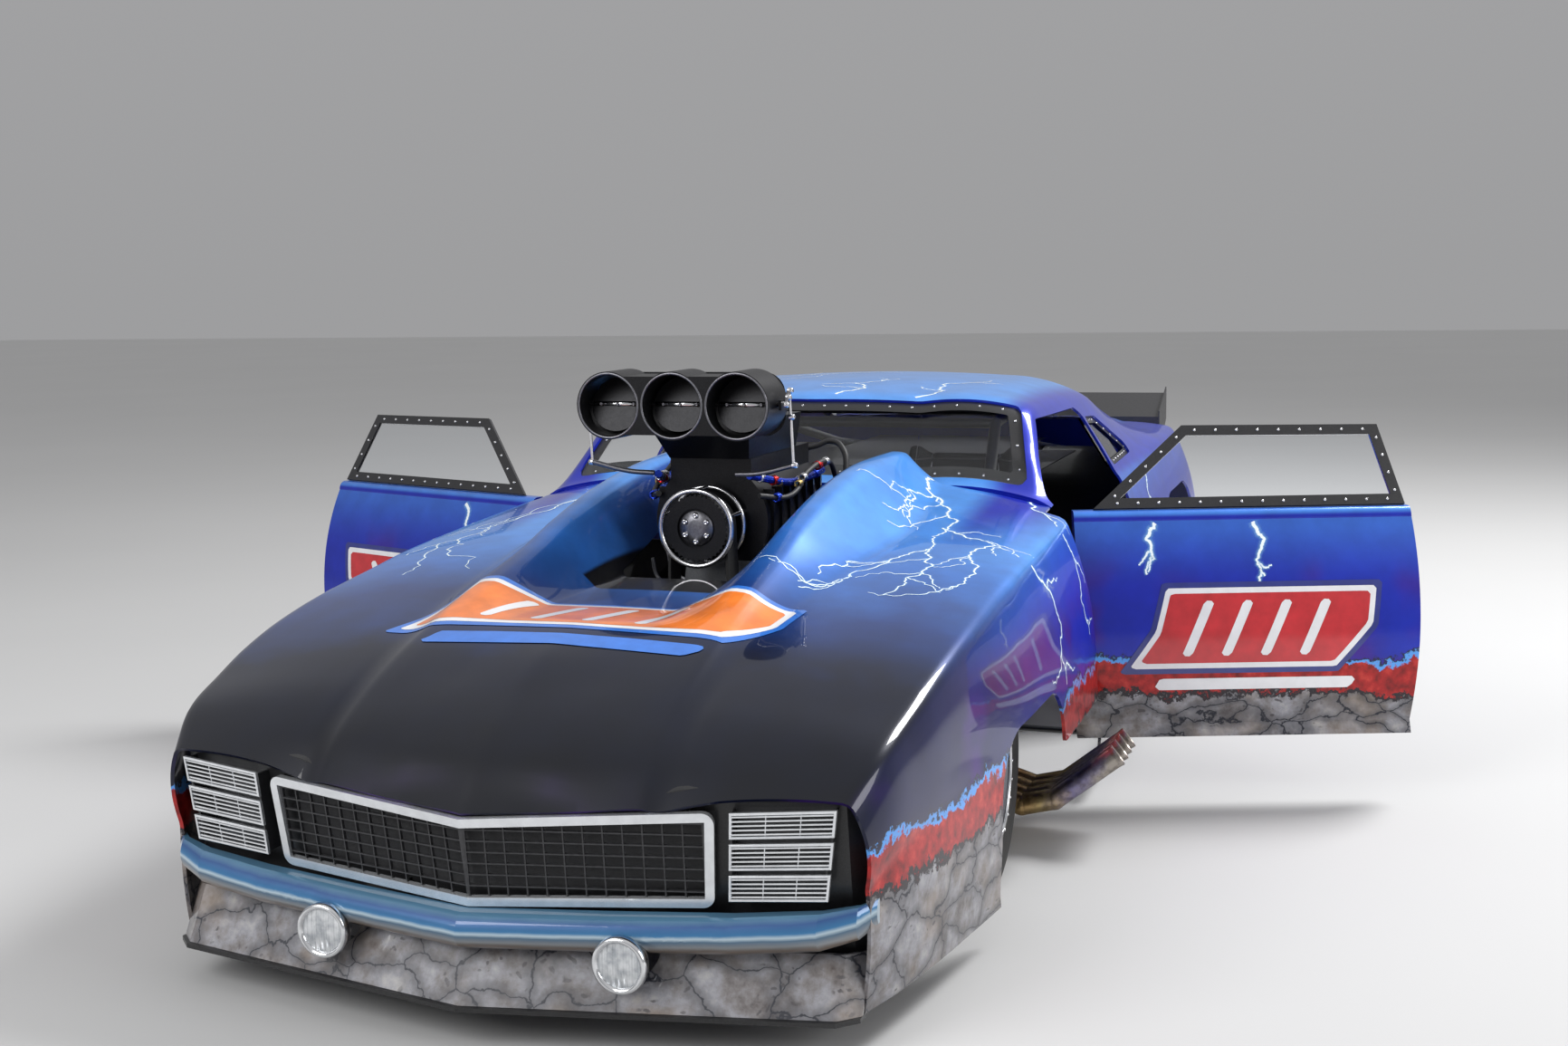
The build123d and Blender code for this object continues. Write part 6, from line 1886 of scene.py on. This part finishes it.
@dataclass
class Seat:
    """The bucket seat: a stitched cover over foam, in the CAD shell's outline.

    Args:
        x: Middle of the seat.
        width: Overall width.
        offset: How far the cover's line is drawn in, to leave room for the swell.
    """

    x: float = 0.375
    width: float = 0.4
    offset: float = 0.012

    def build(self) -> None:
        """A line of the cover's middle, from the front lip over the cushion and up the back to the
        head, is swept across the seat. Side bolsters rise by a smooth step of the distance from
        the middle, and each panel swells between its seams.
        """
        line = np.array(SEAT_FRONT)
        t = np.linspace(0, len(line) - 1, 110)
        middle = np.stack([curve_through(np.arange(len(line)), line[:, k], t) for k in (0, 1)], 1)
        ahead = np.gradient(middle, axis=0)
        ahead /= np.linalg.norm(ahead, axis=1)[:, None]
        normal = np.stack([-ahead[:, 1], ahead[:, 0]], 1)
        u = np.linspace(-1, 1, 61)
        rise = self._step(np.abs(u), 0.58, 0.86)
        swell = 0.01 * np.abs(np.sin(np.clip(t / 13 * 9, 0, 9) * np.pi))[:, None] * (1 - rise)[None]
        seams = 0.004 * np.exp(-((np.abs(u) - 0.6) / 0.03) ** 2)
        inside = self._step(t, 1.6, 3.0) * (1 - self._step(t, 11.2, 12.6))
        lift = 0.055 * rise[None] * inside[:, None] + swell - seams[None]
        edge = np.clip((1 - np.abs(u)) / 0.1, 0, 1)
        lift -= 0.022 * (1 - np.sqrt(1 - (1 - edge) ** 2))[None]
        top = np.stack([np.broadcast_to(self.x + u * (self.width / 2 - 0.004), lift.shape),
                        middle[:, :1] + normal[:, :1] * (lift - self.offset) + NOSE_Y,
                        middle[:, 1:] + normal[:, 1:] * (lift - self.offset)], 2)
        back_line = np.array(SEAT_BACK)
        b = np.linspace(0, len(back_line) - 1, 110)
        back = np.stack([curve_through(np.arange(len(back_line)), back_line[:, k], b) for k in (0, 1)], 1)
        under = np.stack([np.broadcast_to(self.x + u * (self.width / 2 - 0.012), lift.shape),
                          np.broadcast_to(back[:, :1] + NOSE_Y, lift.shape),
                          np.broadcast_to(back[:, 1:], lift.shape)], 2)
        loop = np.concatenate([top, under[:, ::-1]], 1).transpose(1, 0, 2)
        rows, cols = loop.shape[:2]
        faces = np.roll(quads(rows, cols, True)[:, ::-1], 1, 1).tolist()
        faces += [[r * cols for r in range(rows)][::-1], [r * cols + cols - 1 for r in range(rows)]]
        seat = new_mesh("seat_cover", loop, faces)
        dress(seat, "seat_cloth", CAR, "seat")
        for side in Side:
            x = self.x + side.value * (self.width / 2) * 0.6
            run = middle[14:100:6] + normal[14:100:6] * (0.004 - self.offset)
            piping = [(x, y + NOSE_Y, z) for y, z in run]
            tube(f"{side.word}_seat_piping", piping, 0.0028, "dark_steel")

    @staticmethod
    def _step(value: Array, low: float, high: float) -> Array:
        """A smooth rise from 0 to 1."""
        t = np.clip((value - low) / (high - low), 0, 1)
        return t * t * (3 - 2 * t)


@dataclass
class Pack:
    """One parachute pack: a stuffed bag with a seamed flap.

    Args:
        side: The side that it is on.
        x: Its middle across the car, as a distance.
        z: Its middle's height.
        start: Station of its front.
        end: Station of its rear.
    """

    side: Side
    x: float = 0.21
    z: float = 0.412
    start: float = 5.0
    end: float = 5.17

    def build(self) -> Piece:
        """Each section is a superellipse whose size falls towards the back; a few folds run along
        it as waves of the angle.

        Returns:
            The bag.
        """
        name = f"{self.side.word}_parachute_pack"
        turn = np.linspace(0, 2 * np.pi, 72, endpoint=False)
        rows = []
        for t in np.linspace(0, 1, 36):
            close = math.sqrt(max(0.0, 1 - (2 * t - 1) ** 12))
            share = 0.8 + 0.2 * close if 0 < t < 1 else 0.72
            half_w, half_h = (0.095 - 0.015 * t) * share, (0.075 - 0.015 * t) * share
            seam = 0.022 * np.exp(-((t - 0.62) / 0.03) ** 2)
            fold = 1 - 0.018 * (0.5 + 0.5 * np.sin(turn * 9 + 5 * t)) - seam
            c, s = np.cos(turn), np.sin(turn)
            x = np.sign(c) * np.abs(c) ** 0.62 * half_w * fold
            z = np.sign(s) * np.abs(s) ** 0.62 * half_h * fold
            y = self.start + 0.002 + (self.end - self.start - 0.004) * t
            rows.append(np.stack([self.side.value * self.x + x, np.full_like(x, y + NOSE_Y), self.z + z], 1))
        grid = np.stack(rows)
        n, m = grid.shape[:2]
        faces = quads(n, m, False, True).tolist()
        faces += [list(range(m))[::-1], [(n - 1) * m + q for q in range(m)]]
        bag = new_mesh(name, grid, faces)
        dress(bag, "pack_cloth", CAR)
        return bag


# artwork on the paint

DOOR_WAYS = ((Way.LEFT_DOOR, "left"), (Way.RIGHT_DOOR, "right"))

# Bolts: name, surface, glow width, seed, forks and corners of the layout
BOLTS: tuple[tuple[str, Way, float, int, int, tuple[Point2, ...]], ...] = (
    ("hood_bolt_root", Way.HOOD, 0.04, 3, 2,
     ((0.47, 2.09), (0.505, 1.96), (0.585, 1.84), (0.63, 1.7), (0.61, 1.54), (0.64, 1.4))),
    ("hood_bolt_inner", Way.HOOD, 0.03, 5, 4,
     ((0.505, 1.96), (0.455, 1.88), (0.48, 1.76), (0.44, 1.64))),
    ("hood_bolt_front", Way.HOOD, 0.03, 11, 5,
     ((0.64, 1.4), (0.57, 1.25), (0.5, 1.06), (0.43, 0.93))),
    ("hood_bolt_middle", Way.HOOD, 0.028, 12, 4,
     ((0.64, 1.4), (0.69, 1.24), (0.66, 1.08), (0.64, 0.95))),
    ("hood_bolt_outer", Way.HOOD, 0.034, 17, 3,
     ((0.615, 1.64), (0.7, 1.56), (0.79, 1.52), (0.87, 1.45))),
    ("hood_bolt_outer_front", Way.HOOD, 0.028, 21, 3,
     ((0.79, 1.52), (0.77, 1.33), (0.8, 1.18), (0.77, 1.05))),
    ("cowl_bolt", Way.HOOD, 0.034, 23, 1,
     ((0.77, 2.085), (0.79, 2.01), (0.85, 1.96), (0.885, 1.9))),
    ("far_hood_bolt", Way.HOOD, 0.034, 31, 5,
     ((-0.47, 2.08), (-0.54, 1.9), (-0.64, 1.76), (-0.72, 1.56), (-0.76, 1.35), (-0.83, 1.2))),
    ("roof_bolt_left", Way.HOOD, 0.05, 41, 3,
     ((0.06, 2.42), (0.13, 2.52), (0.06, 2.64), (0.17, 2.8))),
    ("roof_bolt_right", Way.HOOD, 0.05, 43, 3,
     ((0.33, 2.41), (0.4, 2.52), (0.36, 2.7), (0.48, 2.86))),
    ("roof_bolt_rear", Way.HOOD, 0.05, 47, 4,
     ((-0.3, 2.6), (-0.38, 2.9), (-0.25, 3.2), (-0.35, 3.5))),
    ("fender_bolt_front", Way.LEFT_FLANK, 0.04, 51, 3,
     ((1.45, 0.815), (1.52, 0.74), (1.56, 0.64), (1.5, 0.56), (1.54, 0.48))),
    ("fender_bolt_rear", Way.LEFT_FLANK, 0.04, 53, 2,
     ((1.9, 0.835), (1.93, 0.74), (1.88, 0.65), (1.93, 0.54))),
    ("far_fender_bolt", Way.RIGHT_FLANK, 0.04, 57, 3,
     ((1.5, 0.815), (1.56, 0.72), (1.53, 0.62), (1.62, 0.5))),
    ("quarter_bolt", Way.LEFT_FLANK, 0.04, 64, 2,
     ((3.5, 0.86), (3.42, 0.76), (3.48, 0.65), (3.4, 0.52))),
    ("far_quarter_bolt", Way.RIGHT_FLANK, 0.04, 67, 4,
     ((3.55, 0.86), (3.47, 0.76), (3.52, 0.64), (3.43, 0.52))),
    ("door_bolt_front", Way.LEFT_DOOR, 0.052, 71, 2,
     ((2.27, 0.835), (2.24, 0.79), (2.262, 0.735), (2.238, 0.69))),
    ("door_bolt_rear", Way.LEFT_DOOR, 0.052, 73, 2,
     ((2.56, 0.835), (2.59, 0.785), (2.562, 0.725), (2.585, 0.68))),
    ("far_door_bolt", Way.RIGHT_DOOR, 0.05, 79, 3,
     ((2.35, 0.835), (2.32, 0.76), (2.35, 0.68), (2.31, 0.6))),
)


def slanted(low: Point2, high: Point2, slant: float, nick: float) -> list[Point2]:
    """A slanted banner outline: a parallelogram with a pointed nose and a notched tail.

    Args:
        low: Least station and height, or x and station.
        high: Greatest of both.
        slant: How far the top leans along the first axis.
        nick: Depth of the nose and the notch.

    Returns:
        The corners.
    """
    (p0, q0), (p1, q1) = low, high
    middle = (q0 + q1) / 2
    return [(p0, q0), (p1 - slant, q0), (p1 - slant / 2 + nick, middle), (p1, q1), (p0 + slant, q1),
            (p0 + slant / 2 + nick * 0.6, middle)]


@dataclass
class Artwork:
    """All the shapes painted over the fade: bolts of lightning and blank banners.

    Args:
        brush: The tool that lays them.
    """

    brush: Airbrush

    def build(self) -> None:
        """Lays the bolts, then the banners."""
        for bolt in BOLTS:
            self.brush.bolt(*bolt)
        for way, word in DOOR_WAYS:
            self._banner(f"{word}_door_banner", way, (2.15, 0.395), (2.93, 0.665), 0.13, 0.05,
                         ("banner_navy", "banner_white", "banner_red"), 0.016)
            self.brush.patch(f"{word}_door_stripe", way, slanted((2.25, 0.345), (2.85, 0.38), 0.02, 0.01),
                             "banner_white", 2)
        self._banner("hood_banner", Way.HOOD, (-0.5, 0.53), (0.5, 0.8), 0.12, 0.04,
                     ("banner_blue", "banner_white", "banner_orange"), 0.018)
        for k in range(4):
            for way, word in DOOR_WAYS:
                self._slash(f"{word}_door_slash_{k}", way, 2.335 + 0.115 * k, (0.448, 0.612), (0.03, 0.07))
            self._slash(f"hood_slash_{k}", Way.HOOD, -0.27 + 0.135 * k, (0.586, 0.744), (0.032, 0.062))
        self.brush.patch("hood_stripe", Way.HOOD, slanted((-0.36, 0.445), (0.36, 0.497), 0.04, 0.01),
                         "banner_blue", 2)

    def _slash(self, name: str, way: Way, at: float, span: Point2, lean: Point2) -> None:
        """A white slash across a banner.

        Args:
            name: Object name.
            way: Surface.
            at: Where its foot starts along the banner.
            span: Where its foot and its head are across the banner.
            lean: Its width, and how far its head is set along from its foot.
        """
        foot, head = span
        wide, along = lean
        outline = [(at, foot), (at + wide, foot), (at + wide + along, head), (at + along, head)]
        self.brush.patch(name, way, outline, "banner_white", 4)

    def _banner(self, name: str, way: Way, low: Point2, high: Point2, slant: float, nick: float,
                looks: Sequence[str], step: float) -> None:
        """A banner in three colours, each drawn in from the one below.

        Args:
            name: Start of the pieces' names.
            way: Surface.
            low: Least corner.
            high: Greatest corner.
            slant: Lean of its ends.
            nick: Depth of its nose and notch.
            looks: Finishes, from the lowest layer up.
            step: How far each is drawn in.
        """
        outline = np.array(slanted(low, high, slant, nick))
        for layer, look in enumerate(looks):
            shape = inset(outline, step * layer) if layer else outline
            self.brush.patch(f"{name}_{layer}", way, [tuple(c) for c in shape], look, layer + 1)


# camera, floor and light


@dataclass(frozen=True)
class Shot:
    """The photograph's viewpoint.

    Args:
        place: Where the camera stands.
        turn: Turn to the side, in degrees, from looking along +Y.
        pitch: Tilt downwards, in degrees.
        roll: Lean, in degrees.
        lens: Focal length, in millimetres, on a 36 mm wide sensor.
    """

    place: Colour = (1.852, -6.001, 1.586)
    turn: float = 19.37
    pitch: float = 7.8
    roll: float = 1.05
    lens: float = 41.55

    def build(self) -> None:
        """Adds the camera and makes it the scene's own."""
        across, tilt, lean = math.radians(self.turn), math.radians(-self.pitch), math.radians(self.roll)
        turn = Matrix.Rotation(across, 3, "Z") @ Matrix.Rotation(tilt, 3, "X") @ Matrix.Rotation(lean, 3, "Y")
        right, forward, up = turn.col[0], turn.col[1], turn.col[2]
        facing = Matrix((right, up, -forward)).transposed().to_4x4()
        data = bpy.data.cameras.new("photo_camera")
        data.lens, data.sensor_width, data.sensor_fit = self.lens, 36.0, "HORIZONTAL"
        data.clip_end = 200.0
        camera = bpy.data.objects.new("photo_camera", data)
        camera.matrix_world = Matrix.Translation(self.place) @ facing
        bpy.context.scene.collection.objects.link(camera)
        bpy.context.scene.camera = camera


class Studio:
    """A plain pale floor under soft light, with a high key from behind the car's left."""

    def build(self) -> None:
        """Adds the floor, the world and the lights."""
        graph = Graph("studio_floor")
        spot = graph.spread(graph.noise(2.5, 3.0), 0.5, 0.54)
        tone = graph.add("CombineColor", {0: spot, 1: spot, 2: spot}).outputs[0]
        corners = np.array([(-40, -40, 0), (40, -40, 0), (40, 40, 0), (-40, 40, 0)], float)
        floor = new_mesh("studio_floor", corners, [[0, 1, 2, 3]], smooth=False)
        floor.data.materials.append(graph.finish(base_color=tone, roughness=0.8))
        world = bpy.data.worlds.new("studio_sky")
        bpy.context.scene.world = world
        world.use_nodes = True
        tree = world.node_tree
        sky = tree.nodes["Background"]
        height = tree.nodes.new("ShaderNodeSeparateXYZ")
        tree.links.new(tree.nodes.new("ShaderNodeTexCoord").outputs["Generated"], height.inputs[0])
        ramp = tree.nodes.new("ShaderNodeValToRGB")
        bands = ramp.color_ramp.elements
        for position in (0.3, 0.52):
            bands.new(position)
        for band, (position, grey) in zip(bands, ((0.0, 0.55), (0.3, 0.6), (0.52, 0.78))):
            band.position, band.color = position, (grey, grey, grey * 1.02, 1.0)
        tree.links.new(height.outputs["Z"], ramp.inputs[0])
        tree.links.new(ramp.outputs[0], sky.inputs[0])
        sky.inputs["Strength"].default_value = 0.62
        for name, place, aim, size, power in (
                ("key_light", (4.5, 3.5, 7.5), (0, -0.5, 0.6), 3.0, 900.0),
                ("front_light", (-3.0, -7.0, 4.5), (0, -1.5, 0.6), 4.0, 260.0),
                ("side_light", (7.0, -3.0, 3.0), (0, 0, 0.6), 3.0, 160.0)):
            data = bpy.data.lights.new(name, "AREA")
            data.size, data.energy = size, power
            light = bpy.data.objects.new(name, data)
            facing = (Vector(aim) - Vector(place)).to_track_quat("-Z", "Y").to_matrix().to_4x4()
            light.matrix_world = Matrix.Translation(place) @ facing
            bpy.context.scene.collection.objects.link(light)


# looks of the CAD nodes that stay

NODE_LOOKS: dict[str, str] = {
    "carbon_panel": "front_splitter cabin_tinwork wheel_tubs",
    "satin_black": "nose_panel steering_wheel rear_spoiler",
    "grille_grey": "grille",
    "frame_silver": "grille_frame",
    "cage_black": "chassis roll_cage wheelie_bar",
    "dark_steel": "front_suspension door_hinges driveline rear_suspension",
    "cast_alloy": "steering_rack left_knuckle right_knuckle engine_block intake_manifold rear_axle",
    "bright_steel": "tie_rods belt_guard",
    "anodised_black": "valve_covers blower_case blower_pulleys injector_hat throttle_plates",
    "belt_rubber": "blower_belt",
    "wheelie_red": "wheelie_wheels",
    "lamp_red": "tail_lamps",
    "polished_alloy": "fog_lamps",
    "brushed_alloy": "left_front_wheel right_front_wheel left_rear_wheel right_rear_wheel",
    "chrome": "front_bumper rear_bumper",
    "stone": "front_valance",
    "headers": "headers",
    "pane": "windshield rear_windows",
}


def paint_nodes() -> None:
    """Gives each CAD node that stays its look."""
    for look, nodes in NODE_LOOKS.items():
        for node in nodes.split():
            set_look(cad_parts[node], look)


def main() -> None:
    """Builds the whole scene, one sub-assembly after another."""
    logging.basicConfig(level=logging.INFO, format="%(message)s")
    paint_nodes()
    shells = Shells()
    hood, shell = shells.hood(), shells.shell()
    Glass(shells).build()
    for side in Side:
        Door(side).dress()
        Wheel("front", 0.815, FRONT_AXLE, 0.31, 0.115, 0.19, False).build(side)
        Wheel("rear", 0.67, REAR_AXLE, 0.43, 0.43, 0.203, True).build(side)
    Artwork(Airbrush(Drape(hood, shell))).build()
    Engine().build()
    Lamps().build()
    Seat().build()
    bags = [Pack(side).build() for side in Side]
    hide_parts("parachute_packs")
    Shot().build()
    Studio().build()
    bpy.context.scene.view_settings.view_transform = "Standard"
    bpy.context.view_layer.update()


if __name__ == "__main__":
    main()
